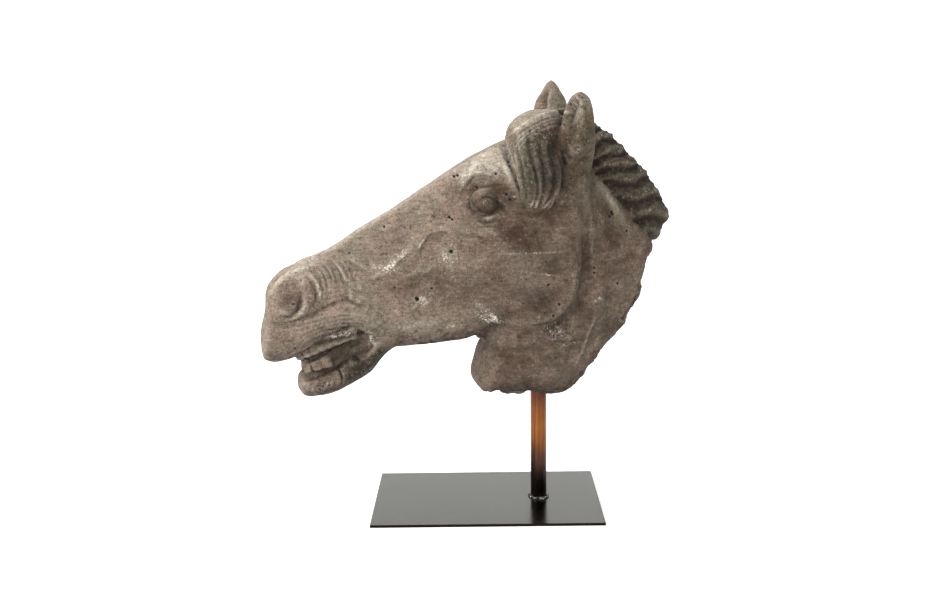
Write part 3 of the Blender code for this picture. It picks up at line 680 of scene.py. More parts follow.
def carve_eye(clay):
    # The brow, paled on top partly as painted highlight and with painted shade in the groove under it, with
    # fine lines along its front, and the lids around the ball
    clay.stroke([(-86, 221), (-83, 229), (-75, 238), (-65, 243), (-55, 241), (-46, 236)], 1.3, 5.0, 3.0,
                ends=0.3, cream=0.6)
    clay.stroke([(-84, 212), (-82, 221), (-74, 229), (-62, 231), (-50, 226)], -0.7, 3.0, ends=0.3, dusk=0.9,
                grime=0.15)
    clay.stroke([(-66, 247), (-56, 248), (-46, 243), (-38, 233), (-33, 221), (-33, 208)], 1.0, 3.5, 3.0,
                ends=0.35, cream=0.35)
    clay.dab((-62, 248), 0, 12, long=1.8, lean_deg=10, cream=0.55)
    clay.stroke([(-88, 199), (-80, 210), (-68, 217.5), (-57, 215), (-47, 205), (-40, 196)], 2.2, 5.5, 2.6,
                ends=0.25)
    clay.stroke([(-86, 201), (-74, 196), (-64, 193.5), (-54, 195), (-42, 199)], 1.4, 2.4, 4.5, ends=0.3)
    clay.cut()
    carve_fan(clay, [(-84, 223), (-80, 230), (-73, 235), (-64, 236), (-54, 233)],
              [(-80, 219), (-77, 225), (-71, 230), (-62, 231), (-53, 227)], ridges=2, height=0.3,
              width=1.0, cream=0.5, grime=0.3)
    # Creases along the lids and at the corner of the eye, darkened as painted shade
    clay.stroke([(-76, 206), (-72, 200), (-66, 198), (-59, 199), (-53, 205)], -1.1, 1.2, ends=0.3, grime=0.8)
    clay.stroke([(-76, 208), (-72, 212), (-66, 214), (-59, 211), (-54, 206)], -1.0, 1.2, ends=0.3, grime=0.7)
    clay.dab((-51, 203), -1.4, 2.4, long=1.5, lean_deg=60, grime=0.8)
    # Folds below it: a bright one, a dark blotch, then bags
    clay.stroke([(-70, 193), (-64, 193), (-57, 196)], 0.6, 1.1, ends=0.4, cream=0.7)
    clay.stroke([(-76, 195), (-72, 190), (-63, 189), (-55, 192)], -1.1, 1.9, ends=0.35, grime=0.75)
    carve_fan(clay, [(-76, 187), (-66, 187), (-56, 188)], [(-69, 180), (-61, 180), (-56, 177)], ridges=3,
              height=0.4, width=1.2, cream=0.3, grime=0.2)
    clay.dab((-97, 196), -1.4, 7, long=1.4, lean_deg=30, grime=0.2)
    clay.stroke([(-92, 190), (-85, 196), (-80, 201)], -0.8, 1.8, ends=0.3, grime=0.3)
    clay.dab((-44, 212), 0, 6, long=1.6, lean_deg=-60, rough=0.5)
    # The ball, darkened as painted shade in its socket under the brow, and the worn patch of the pupil
    clay.dab((-67, 207), 0, 11, edge=5, grime=0.15, dusk=0.7)
    clay.dab((-67, 209), -0.5, 3.6, edge=4, chalk=0.45, pits=0.4, rough=0.6)
    clay.cut()


def carve_cheek(clay):
    # The sharp crest of the cheek bone, dark with painted shade where it flattens out
    crest = [(-131, 161), (-129, 167), (-125, 172), (-118, 177), (-109, 179), (-95, 177), (-80, 175),
             (-62, 172)]
    clay.stroke(crest[:6], 1.0, 5.0, 1.2, ends=0.3)
    clay.stroke(crest[2:6], -0.6, 1.2, ends=0.4, grime=0.7)
    clay.stroke(crest[5:], -0.4, 1.2, ends=0.4, grime=0.45)
    clay.stroke([(-127, 157), (-117, 153), (-104, 157), (-86, 165)], -1.2, 5.5, ends=0.3, grime=0.1)
    # Veins, each faintly paled on top, with painted shade in the groove below it
    for vein in (
        [(-180, 150), (-166, 145), (-157, 147), (-149, 154), (-141, 162), (-132, 170)],
        [(-176, 138), (-161, 142), (-152, 151), (-140, 162)],
        [(-188, 131), (-174, 137), (-160, 143)],
        [(-156, 144), (-144, 137), (-133, 140), (-115, 140)],
        [(-136, 145), (-126, 141), (-116, 150)],
        [(-207, 164), (-194, 155), (-182, 140)],
        [(-208, 139), (-199, 131), (-188, 125)],
        [(-155, 102), (-140, 102), (-129, 114)],
    ):
        clay.stroke(vein, 0.6, 2.3, ends=0.45, cream=0.1)
        clay.stroke(np.array(vein) + (1.0, -4.0), -0.4, 2.4, ends=0.45, grime=0.2)
    clay.cut()


def carve_jaw(clay):
    """The rim of the round jaw muscle, the groove behind it, darkened as painted shade, and the tendons of
    the throat.
    """
    clay.stroke([(19, 204), (22, 180), (22, 150), (21, 120), (13, 99), (4, 91), (-8, 86), (-26, 86)], 0.5,
                3.5, 6.0, ends=0.4, moss=0.3)
    clay.stroke([(29, 190), (33, 150), (29, 122), (18, 97), (5, 83), (-12, 79), (-40, 72)], -1.8, 4.0,
                ends=0.3, grime=0.3)
    clay.stroke([(25, 224), (28, 195), (30, 160), (33, 128)], -0.5, 6.0, ends=0.3, grime=0.3)
    clay.stroke([(40, 214), (42, 180), (42, 150), (45, 126)], 0.5, 2.6, ends=0.35, cream=0.3)
    clay.stroke([(46, 92), (39, 72), (33, 54), (27, 32)], 0.7, 2.0, ends=0.35, cream=0.35)
    clay.stroke([(22, 64), (18, 50), (14, 36)], -1.0, 2.4, ends=0.35, grime=0.35)
    # The pale band beside the mane, and folds of the throat with painted shade in the groove below each
    clay.stroke([(50, 227), (61, 214), (70, 201), (78, 187), (88, 170), (96, 160)], 0.4, 5.0, ends=0.3,
                cream=0.35, moss=0.5)
    for fold in ([(-64, 48), (-55, 54), (-40, 54), (-24, 53)], [(-24, 52), (-14, 46), (-6, 36)],
                 [(-48, 37), (-40, 30), (-33, 25)], [(-8, 43), (4, 42), (14, 43)]):
        clay.stroke(fold, 0.35, 2.2, ends=0.45)
        clay.stroke(np.array(fold) + (0, -3.4), -0.4, 2.2, ends=0.45, grime=0.2)
    clay.dab((10, 72), 0, 12, long=1.4, lean_deg=-30, edge=3, rough=0.8)
    clay.stroke([(-168, 88), (-150, 84), (-130, 83), (-104, 86)], 0, 9, ends=0.35, cream=0.35)
    clay.cut()


def carve_forelock(clay, depth=2.6):
    """Gaps between locks that sweep forwards from the poll and fall together to the tip, darkened as painted
    shade, and ridges, paled as painted highlights.
    """
    gaps = np.array(FORELOCK_GAPS, float)
    for side in BOTH:
        for share, height in FORELOCK_LINES:
            path = spline((0, 0.5, 1), gaps, np.full(1, share))[0]
            path[:, 0] += forelock_shift(side, path[:, 1]) + 1.2 * np.sin(path[:, 1] / 13 + 9 * share)
            if height > 0:
                clay.stroke(path[4:], height, 1.3, sides=(side,), ends=0.3, cream=0.55 * height)
            else:
                deep = depth * height
                clay.stroke(path, 0.25 * deep, 2.4, 3.2, sides=(side,), ends=0.35)
                clay.stroke(path[3:], 0.75 * deep, 1.7, 2.8, sides=(side,), ends=0.35, grime=-0.9 * height)
        # The rear of each half darkened as painted shade, and its middle darker, rough and mossy
        rear = (-3 + forelock_shift(side, 236), 236)
        clay.dab(rear, 0, 14, long=1.9, lean_deg=85, edge=4, sides=(side,), grime=0.7, dusk=1.0)
        middle = (-19 + forelock_shift(side, 243), 243)
        clay.dab(middle, 0, 17, long=2.0, lean_deg=85, edge=4, sides=(side,), grime=0.35, moss=0.5,
                 rough=0.5)
        # The tips of the locks, paled as painted highlights
        for tip in ([(-21, 212), (-25, 203)], [(-17, 211), (-21, 202)], [(-4, 212), (-8, 206), (-13, 201)],
                    [(1, 214), (-3, 206), (-9, 200)]):
            clay.stroke(tip, 0.8, 1.0, sides=(side,), ends=0.4, cream=1.0)
    clay.cut()
    # Rims along the top of the cap, paled as painted highlights, and the knobbly surface below them
    clay.stroke([(-38, 272), (-28, 280), (-21, 284), (-8, 289), (0, 292), (12, 294), (28, 292)], 0.8, 1.5,
                sides=LEFT_ONLY, cream=0.8)
    carve_fan(clay, [(-39, 266), (-30, 276), (-21, 281), (-9, 286), (1, 289), (11, 290), (27, 287)],
              [(-38, 250), (-31, 262), (-22, 270), (-11, 275), (0, 279), (10, 281), (22, 279)], ridges=4,
              height=0.45, width=1.3, cream=0.5, grime=0.35)
    clay.dab((-41, 262), -2.5, 7, long=2.2, lean_deg=80, sides=LEFT_ONLY)
    clay.stroke([(-45, 262), (-43, 246), (-39, 230), (-34, 215), (-30, 204)], 2.2, 2.5, 5.0, ends=0.3,
                sides=LEFT_ONLY, cream=0.3)
    clay.dab((-6, 272), 0, 14, long=1.6, lean_deg=20, edge=4, rough=0.7)
    # A hollow, darkened as painted shade
    clay.dab((3, 259), -3.0, 6, long=1.6, lean_deg=75, edge=3, grime=1.0, dusk=1.0)
    clay.cut()


def carve_mane(clay, depth=5.2, strand_depth=0.6):
    """Locks that fan out from the crest of the neck, each with a steep lower side, and their strands."""
    u, y, v = clay.at.T
    du, dv = u - MANE_FAN_MIDDLE[0], v - MANE_FAN_MIDDLE[1]
    angle = np.degrees(np.arctan2(dv, du))
    reach = np.hypot(du, dv)
    border = spline((150, 176, 207, 225, 240, 262, 290), (104, 96, 77, 60, 48, 38, 30), v)
    low, high = MANE_FAN_DEG
    on_mane = smooth_step(u - border, -2, 4) * smooth_step(reach, 70, 84)
    on_mane *= smooth_step(angle, low - 2, low + 2) * (1 - smooth_step(angle, high + 2, high + 8))
    on_mane *= 1 - smooth_step(np.abs(y), 25, 31)
    wander = 1.3 * np.sin(reach / 9) + 1.2 * mottle(clay.at, size=14, seed=41)
    count = MANE_LOCKS * (angle - low + wander) / (high - low)
    part = count - np.floor(count)
    lock = np.where(part < 0.3, part / 0.3, (1 - part) / 0.7) ** 0.8 - 0.55
    beside_crest = 0.35 + 0.65 * (1 - np.exp(-((y / 3.5) ** 2)))
    strands = np.cos(2 * math.pi * (2.6 * count + 0.4 * np.sin(reach / 7)))
    clay.lift += depth * on_mane * lock * beside_crest
    clay.lift += strand_depth * on_mane * strands * (lock > -0.3)
    inner_end = 1 - smooth_step(u - border, 6, 26)
    # Each lock darkened on its steep lower side and towards its inner end as painted shade, and paled along
    # its top as painted highlight; the whole mane darker, rough and mossy
    amounts = {"grime": np.clip(0.5 - lock * 1.5, 0.1, 1) + 0.4 * inner_end, "dusk": 0.9, "moss": 0.5,
               "rough": 0.5, "cream": 0.3 * np.clip(lock, 0, 0.4)}
    for name, amount in amounts.items():
        clay.layers[name] = np.maximum(clay.layers[name], on_mane * amount)
    clay.cut()


def carve_ears(clay):
    """The rim and the folds of the left ear's cup, and the hollow in front of both ears; grooves and hollows
    are darkened as painted shade, and the rim and folds paled as painted highlights.
    """
    clay.stroke([(19, 275), (24, 281), (28, 290), (30, 299), (32, 307)], 1.1, 1.6, 2.4, sides=LEFT_ONLY,
                cream=0.5)
    clay.stroke([(29, 278), (31, 284), (33, 292)], 0.9, 1.4, sides=LEFT_ONLY, ends=0.4, cream=0.3)
    clay.stroke([(16, 277), (21, 286), (24, 297)], -0.8, 4.0, sides=LEFT_ONLY, ends=0.3)
    clay.stroke([(20, 275), (25, 283)], -1.5, 1.3, sides=LEFT_ONLY, ends=0.4, grime=0.9)
    clay.stroke([(22, 269), (17, 264), (15, 257), (17, 251), (23, 248), (31, 247)], -1.4, 1.8,
                sides=LEFT_ONLY, ends=0.3, grime=0.5)
    clay.stroke([(20, 262), (21, 256), (29, 255)], 1.0, 1.8, sides=LEFT_ONLY, ends=0.4, cream=0.4)
    clay.stroke([(24, 241), (31, 247), (40, 249)], -1.1, 2.0, sides=LEFT_ONLY, ends=0.3, grime=0.4)
    clay.stroke([(51, 236), (51, 225), (50, 213)], -1.2, 2.4, sides=LEFT_ONLY, ends=0.4, grime=0.4)
    clay.stroke([(13, 262), (13, 250), (17, 241)], -1.4, 2.0, ends=0.3, grime=0.6)
    clay.dab((30, 304), 0, 12, edge=4, rough=0.7, cream=0.3)
    clay.dab((26, 262), 0, 12, long=1.5, lean_deg=90, edge=4, rough=0.45)
    clay.cut()


# Chips of the break, as (size, depth)
CHIPS = ((20.0, 2.5), (7.0, 0.7))


def break_neck(clay, seed=5):
    """The end and the underside of the neck are broken: flat chips, each tilted its own way."""
    chance = np.random.default_rng(seed)
    u, _, v = clay.at.T
    for chip_size, chip_depth in CHIPS:
        end = smooth_step(clay.outwards @ np.array(BREAK_FACING), 0.45, 0.8) * smooth_step(u, 15, 30)
        under = smooth_step(-clay.outwards[:, 2], 0.6, 0.9)
        broken = np.maximum(end, under) * (1 - smooth_step(v, 150, 165)) * smooth_step(u, -80, -70)
        places = np.nonzero(broken > 0.02)[0]
        count = int(len(places) * CARVING_VOXEL**2 / chip_size**2)
        middles = clay.at[chance.choice(places, count, replace=False)]
        tilts = chance.normal(0, chip_depth / chip_size, (count, 3))
        depths = chance.normal(0, chip_depth / 2, count)
        here = clay.at[places]
        chip = np.empty(len(places), int)
        for start in range(0, len(places), 4000):
            part = here[start:start + 4000]
            away = ((part[:, None, :] - middles[None]) ** 2).sum(2)
            chip[start:start + 4000] = away.argmin(1)
        slope = ((here - middles[chip]) * tilts[chip]).sum(1)
        rise = np.clip(depths[chip] + slope, -chip_depth, chip_depth)
        clay.lift[places] += broken[places] * rise
        clay.layers["grime"][places] = np.maximum(clay.layers["grime"][places], 0.35 * broken[places])
        clay.cut()


# Bubbles and knocks on the left side, as (u, v, radius, depth)
PITS = (
    (-134, 113, 2.6, 2.2), (-100, 160, 2.0, 1.6), (-162, 184, 1.3, 1.0), (-120, 124, 1.2, 0.9),
    (-156, 126, 1.2, 0.9), (-91, 232, 1.4, 1.3), (-88, 233, 1.3, 1.3), (-99, 193, 1.4, 1.2),
    (-97, 191, 1.4, 1.2), (-72, 222, 1.3, 1.0), (-53, 235, 1.3, 1.2), (-46, 216, 1.5, 1.4),
    (-43, 211, 1.5, 1.2), (69, 192, 2.0, 1.4), (66, 188, 1.6, 1.2), (70, 190, 1.6, 1.2),
    (84, 173, 1.4, 1.0), (44, 139, 1.3, 0.9), (44, 134, 1.3, 0.9), (69, 122, 1.5, 1.0),
    (7, 104, 1.4, 1.0), (1, 92, 1.5, 1.1),
)
RANDOM_PITS = 150

# Pale, rough streaks on the left side, as their path, width and strength
STREAKS = (
    ([(-87, 218), (-83, 227), (-76, 234), (-67, 237)], 2.4, 0.45),
    ([(-188, 147), (-166, 144), (-155, 148), (-145, 158), (-136, 167)], 6.5, 0.48),
    ([(-172, 139), (-157, 144), (-146, 153)], 5.5, 0.45),
    ([(-131, 161), (-129, 167), (-124, 173)], 1.1, 0.75),
    ([(-80, 114), (-73, 107), (-63, 94), (-52, 87), (-40, 82)], 6.0, 0.5),
    ([(-80, 102), (-70, 92), (-61, 87), (-50, 82)], 5.0, 0.45),
    ([(-114, 79), (-99, 81), (-82, 80)], 3.1, 0.41),
    ([(-65, 106), (-45, 107), (-26, 106)], 3.1, 0.30),
    ([(-64, 158), (-43, 158), (-18, 158), (21, 158)], 1.1, 0.42),
    ([(-37, 140), (-18, 137), (1, 134), (18, 130)], 1.1, 0.45),
    ([(-227, 77), (-212, 78), (-200, 80), (-191, 83)], 3.1, 0.45),
    ([(-190, 83), (-181, 78), (-178, 70), (-183, 61)], 3.7, 0.48),
    ([(39, 102), (46, 107), (54, 108)], 2.4, 0.33),
    ([(-20, 84), (4, 76), (22, 66)], 11.9, 0.25),
    ([(27, 179), (29, 158), (32, 143)], 2.7, 0.20),
    ([(-112, 164), (-101, 156), (-90, 150)], 11.9, 0.42),
    ([(-140, 117), (-130, 112), (-119, 108)], 6.8, 0.44),
)

# Unevenness of the cast surface, as the size and the height of its lumps
UNEVENNESS = ((26, 0.45), (11, 0.35), (4.5, 0.22))


def weather(clay, seed=11):
    """Unevenness of the cast surface, bubbles, knocks, and rough pale streaks where the skin is gone."""
    chance = np.random.default_rng(seed)
    for k, (size, height) in enumerate(UNEVENNESS, start=1):
        clay.lift += height * mottle(clay.at, size, seed=k)
    clay.cut()
    for u, v, radius, depth in PITS:
        clay.dab((u, v), -depth, radius, edge=3, sides=LEFT_ONLY, pits=1.0)
    places = chance.uniform(-270, 110, RANDOM_PITS), chance.uniform(20, 280, RANDOM_PITS)
    for u, v, size in zip(*places, chance.gamma(2, 0.22, RANDOM_PITS)):
        side = LEFT if chance.random() < 0.4 else RIGHT
        clay.dab((u, v), -0.8 * size - 0.2, 0.5 + size, edge=3, sides=(side,), pits=0.6)
    for path, width, amount in STREAKS:
        clay.stroke(path, 0.15, width, ends=0.3, sides=LEFT_ONLY, chalk=amount, cream=0.25 * amount)
    clay.cut()
    clay.layers["chalk"] *= 0.8 + 0.4 * mottle(clay.at, size=6, seed=15)
    crumbling = np.clip(clay.layers["chalk"] + clay.layers["rough"], 0, 1)
    lumps = 0.6 * mottle(clay.at, size=5, seed=6) + 0.5 * mottle(clay.at, size=2.4, seed=7)
    clay.lift += crumbling * lumps
    clay.cut()


# Broad tones: the muzzle and the lower edge of the cheek are the palest and the rear is the darkest
DARKER_FROM = -130
DARKEST_FROM = -20
REAR_DARKNESS = 0.66
# Darker and paler places, as u, v, radius, how much longer it is, its lean in degrees and its darkness
# Of these, the eye, the nostril, the inside of the mouth and the middle and rear of the forelock are
# darkened as painted shade, and the brow and the top and front of the forelock are paled, partly as painted
# highlight
TONES = (
    (-150, 130, 14, 3.2, 5, 0.5), (-100, 122, 26, 1.2, 0, 0.4), (-68, 214, 17, 1.3, 0, 1.0),
    (-72, 239, 14, 1.3, 30, -0.6), (-47, 243, 14, 1.2, -30, -0.5), (-35, 186, 22, 1.4, 0, 0.15),
    (-46, 55, 22, 1.4, 0, 0.15), (52, 168, 24, 1.4, 70, 0.2), (27, 160, 8, 5.0, 88, -0.15),
    (-3, 238, 22, 1.6, 85, 0.35), (-28, 238, 9, 2.6, 84, 0.45), (-40, 262, 14, 1.7, 80, -0.9),
    (-16, 290, 14, 2.0, 20, -0.35), (28, 304, 14, 1.2, 90, -0.05), (*NOSTRIL, 13, 1.1, 0, 0.5),
    (92, 203, 12, 1.8, -60, 0.45), (-220, 132, 13, 1.5, 70, 0.3), (-206, 62, 12, 2.6, 28, 1.0),
    (-258, 118, 9, 1.2, 0, 0.15), (-222, 30, 11, 1.4, 20, 0.8), (72, 204, 6, 4.0, -55, -0.7),
    (-130, 84, 14, 2.4, 5, -1.0), (76, 118, 18, 1.3, 60, -0.3), (-168, 162, 12, 1.5, 35, 0.2),
    (-192, 42, 12, 1.5, 38, 0.5),
)
TONES_ON_THE_LEFT = ((0, 143, 10, 1.8, 5, 0.3), (24, 262, 16, 1.8, 88, 0.5))


def soil_light_and_shade(clay):
    """Where dust, dirt and wear gather, and where light and shade are painted: dirt and painted shade in
    hollows and under overhangs, dust and painted light on ledges that face upwards, wear on edges, and tones
    by place.
    """
    layers = clay.layers
    u, y, v = clay.at.T
    tone = REAR_DARKNESS * smooth_step(u, DARKER_FROM, DARKEST_FROM)
    for side, table in ((LEFT, TONES + TONES_ON_THE_LEFT), (RIGHT, TONES)):
        for *at, radius, long, lean_deg, darkness in table:
            i, shape = clay.oval(at, radius, long, lean_deg, 2.0, side)
            tone[i] += darkness * shape
    tone -= 0.9 * smooth_step(y, 10, 20) * smooth_step(v, 262, 275)
    layers["dusk"] = np.clip(np.maximum(layers["dusk"], tone), 0, 1)
    upwards = clay.outwards[:, 2]
    fine = clay.hollowness(rounds=5)
    broad = clay.hollowness(rounds=45)
    cloud = mottle(clay.at, size=30, seed=21)
    # Dirt, and painted shade, in fine and in broad hollows
    grime = np.clip(fine / 0.3, 0, 1) * 0.5 + np.clip(broad / 2.2, 0, 1) * 0.5
    # Painted shade on faces that turn downwards, under overhangs
    grime += 0.7 * smooth_step(-upwards, 0.3, 0.85)
    layers["grime"] = np.clip(np.maximum(layers["grime"], grime) + 0.1 * cloud, 0, 1)
    # Faces turned upwards are paled, partly dust and partly painted light from above; edges that stand proud
    # are paled as wear
    ledge = smooth_step(upwards, 0.5, 1.0) * smooth_step(v, 90, 150) * (1 - smooth_step(y, 4, 16))
    edge = np.clip(-fine / 0.3, 0, 1)
    worn_and_lit = np.maximum(layers["cream"], 0.45 * ledge) + 0.25 * edge + 0.1 * cloud
    layers["cream"] = np.clip(worn_and_lit * (1 - 0.75 * layers["dusk"]), 0, 1)
    nape = smooth_step(u, 10, 50) * smooth_step(v, 150, 210)
    beyond = smooth_step(upwards, 0.3, 0.8) * smooth_step(y, 4, 16) * smooth_step(v, 90, 150)
    mossy = np.maximum(np.maximum(layers["moss"], 0.35 * nape), 0.45 * beyond)
    layers["moss"] = np.clip(mossy + 0.15 * cloud, 0, 1)


def finished_head():
    """The whole head on its own grid, with its layers as attributes of the mesh."""
    body = fused([ribbed_mass(SKULL, "skull"), ribbed_mass(NECK, "neck", 0.45),
                  ribbed_mass(LOWER_JAW, "lower jaw")], BODY_VOXEL)
    clay = Carving(body)
    clay.rub(rounds=18)
    model_main_forms(clay)
    open_mouth(clay)
    masses = [body, ribbed_mass(MANE, "mane", 0.7), ribbed_mass(GUMS, "gums")]
    masses += [forelock_mass(side) for side in BOTH]
    masses += [ball((EYE[0], side * EYE[1], EYE[2]), (EYE_RADIUS,) * 3, "eyeball") for side in BOTH]
    masses.append(ball(POLL_TUFT, POLL_TUFT_HALF_SIZES, "tuft at the poll"))
    masses.append(ear_mass(LEFT, LEFT_EAR_ROOT, LEFT_EAR_TIP, LEFT_EAR_OPENING_DEG, blunt=1.0))
    masses.append(ear_mass(RIGHT, RIGHT_EAR_ROOT, RIGHT_EAR_TIP, RIGHT_EAR_OPENING_DEG, blunt=0.2,
                           breadth=1.15))
    masses += tooth_row(UPPER_TEETH, UPPER_TEETH_EACH_SIDE) + tooth_row(LOWER_TEETH, LOWER_TEETH_EACH_SIDE)
    clay = Carving(fused(masses, CARVING_VOXEL), fine=True)
    clay.rub(rounds=3)
    carve_nostril(clay)
    carve_lips(clay)
    carve_eye(clay)
    carve_cheek(clay)
    carve_jaw(clay)
    carve_forelock(clay)
    carve_mane(clay)
    carve_ears(clay)
    break_neck(clay)
    clay.rub(rounds=1)
    weather(clay)
    soil_light_and_shade(clay)
    return thinned(clay)


def thinned(clay):
    """The carved mesh with fewer triangles where it is smooth; each point takes the nearest one's layers."""
    fine = shown(clay.mesh, "fine head")
    coarser = fine.modifiers.new("fewer triangles", "DECIMATE")
    coarser.ratio = HEAD_TRIANGLES / (2 * len(clay.mesh.polygons))
    mesh = settled(fine)
    tree = kdtree.KDTree(len(clay.at))
    for i, place in enumerate(clay.at):
        tree.insert(place, i)
    tree.balance()
    nearest = np.array([tree.find(vert.co)[1] for vert in mesh.vertices])
    for name in LAYERS:
        layer = mesh.attributes.new(name, "FLOAT", "POINT")
        layer.data.foreach_set("value", clay.layers[name][nearest].astype(np.float32))
    return mesh


def make_head(material):
    """The finished head, turned and set on its rod."""
    mesh = finished_head()
    mesh.transform(Matrix.Translation((ROD_X, ROD_Y, FOOT_OF_NECK))
                   @ Matrix.Rotation(math.radians(HEAD_TURN_DEG), 4, "Z") @ Matrix.Scale(HEAD_STEP, 4))
    mesh.shade_smooth()
    mesh.materials.clear()
    mesh.materials.append(material)
    return shown(mesh, "carved_stone_head")


def turned(profile, steps):
    """A shape turned about the upright axis from its profile of radii and heights."""
    bm = bmesh.new()
    verts = [bm.verts.new((x, 0, z)) for x, z in profile]
    edges = [bm.edges.new(pair) for pair in zip(verts, verts[1:])]
    bmesh.ops.spin(bm, geom=verts + edges, cent=(0, 0, 0), axis=(0, 0, 1), angle=2 * math.pi, steps=steps,
                   use_merge=True)
    bmesh.ops.remove_doubles(bm, verts=bm.verts, dist=1e-6)
    bmesh.ops.recalc_face_normals(bm, faces=bm.faces)
    return bm


def make_rod(material, sides=128, lumps=9):
    """The rod, turned from its profile, with the lumpy weld bead around its foot."""
    radius = (ROD_HIGH.x - ROD_LOW.x) / 2 - WELD_WIDTH
    foot, top = ROD_LOW.z, ROD_HIGH.z
    bead = [(radius + WELD_WIDTH * math.cos(a), foot + WELD_HEIGHT * math.sin(a))
            for a in np.radians(np.arange(0, 86, 8))]
    chamfer = radius / 10
    heights = np.linspace(foot + 2 * WELD_HEIGHT, top - chamfer, 40)
    profile = [(0, foot)] + bead + [(radius, z) for z in heights] + [(radius - chamfer, top), (0, top)]
    bm = turned(profile, sides)
    places = np.array([vert.co for vert in bm.verts]) * 1000
    spatter = mottle(places, size=1.1, seed=31)
    for vert, rough in zip(bm.verts, spatter):
        out = math.hypot(vert.co.x, vert.co.y)
        if out > radius * 1.02:
            turn = math.atan2(vert.co.y, vert.co.x)
            proud = (out - radius) / out
            lump = 1 + proud * (0.3 * math.sin(lumps * turn + 0.8 * math.sin(2 * turn)) + 0.35 * rough)
            vert.co.x *= lump
            vert.co.y *= lump
    bmesh.ops.translate(bm, verts=bm.verts, vec=(ROD_X, ROD_Y, 0))
    mesh = mesh_from(bm, "coppered_rod")
    mesh.shade_smooth()
    mesh.set_sharp_from_angle(angle=math.radians(50))
    mesh.materials.append(material)
    return shown(mesh, "coppered_rod")


def make_plate(material, rounding=0.0004):
    """The flat plate, with its cut edges barely rounded."""
    size = PLATE_HIGH - PLATE_LOW
    bm = bmesh.new()
    bmesh.ops.create_cube(bm, size=1.0)
    bmesh.ops.scale(bm, verts=bm.verts, vec=size)
    bmesh.ops.translate(bm, verts=bm.verts, vec=(PLATE_LOW + PLATE_HIGH) / 2)
    bmesh.ops.bevel(bm, geom=bm.edges, offset=rounding, segments=3, affect="EDGES", profile=0.5, material=-1)
    mesh = mesh_from(bm, "blackened_plate")
    mesh.materials.append(material)
    return shown(mesh, "blackened_plate")


def linear(code):
    """An sRGB hex colour as the linear values that Blender works in."""
    values = [int(code[i:i + 2], 16) / 255 for i in (1, 3, 5)]
    return (*(v / 12.92 if v <= 0.04045 else ((v + 0.055) / 1.055) ** 2.4 for v in values), 1.0)


def per_mm(size):
    """Texture scale on Object coordinates for features of a size in millimetres."""
    return 1000.0 / size


def add(tree, kind, inputs=None, **settings):
    """Adds a node; an input is given a plain value, the output that feeds it, or a node's first output."""
    node = tree.nodes.new("ShaderNode" + kind)
    for name, value in settings.items():
        setattr(node, name, value)
    for key, value in (inputs or {}).items():
        if isinstance(value, bpy.types.Node):
            value = value.outputs[0]
        if isinstance(value, bpy.types.NodeSocket):
            tree.links.new(value, node.inputs[key])
        else:
            node.inputs[key].default_value = value
    return node


def new_material(name):
    material = bpy.data.materials.new(name)
    material.use_nodes = True
    tree = material.node_tree
    return material, tree, tree.nodes["Principled BSDF"]


def filmed(tree, under, colour, amount, place, patch_mm):
    """Lays a film of a colour over what is under it, thicker and thinner in patches of the given size."""
    patches = add(tree, "TexNoise", {"Vector": place, "Scale": per_mm(patch_mm), "Detail": 6.0,
                                     "Roughness": 0.65})
    thickness = add(tree, "MapRange", {"Value": patches, "From Min": 0.3, "From Max": 0.7, "To Min": 0.35,
                                       "To Max": 1.65})
    share = add(tree, "Math", {0: thickness, 1: amount}, operation="MULTIPLY", use_clamp=True)
    return add(tree, "Mix", {0: share, 6: under, 7: linear(colour)}, data_type="RGBA").outputs[2]


def speckled(tree, under, colour, amount, place, patch_mm, softness=0.06):
    """Covers about the given share of what is under it with specks and crumbs of a colour."""
    crumbs = add(tree, "TexNoise", {"Vector": place, "Scale": per_mm(patch_mm), "Detail": 8.0,
                                    "Roughness": 0.7})
    heaped = add(tree, "Math", {0: amount, 1: 0.5, 2: crumbs}, operation="MULTIPLY_ADD")
    share = add(tree, "MapRange", {"Value": heaped, "From Min": 0.75 - softness,
                                   "From Max": 0.75 + softness})
    return add(tree, "Mix", {0: share, 6: under, 7: linear(colour)}, data_type="RGBA").outputs[2]


def varied(tree, under, place, patch_mm, darkest, palest):
    """Makes what is under it darker and paler in patches of about the given size."""
    patches = add(tree, "TexNoise", {"Vector": place, "Scale": per_mm(patch_mm), "Detail": 1.5})
    tone = add(tree, "MapRange", {"Value": patches, "From Min": 0.3, "From Max": 0.7, "To Min": darkest,
                                  "To Max": palest})
    return add(tree, "VectorMath", {0: under, 1: tone}, operation="MULTIPLY").outputs[0]


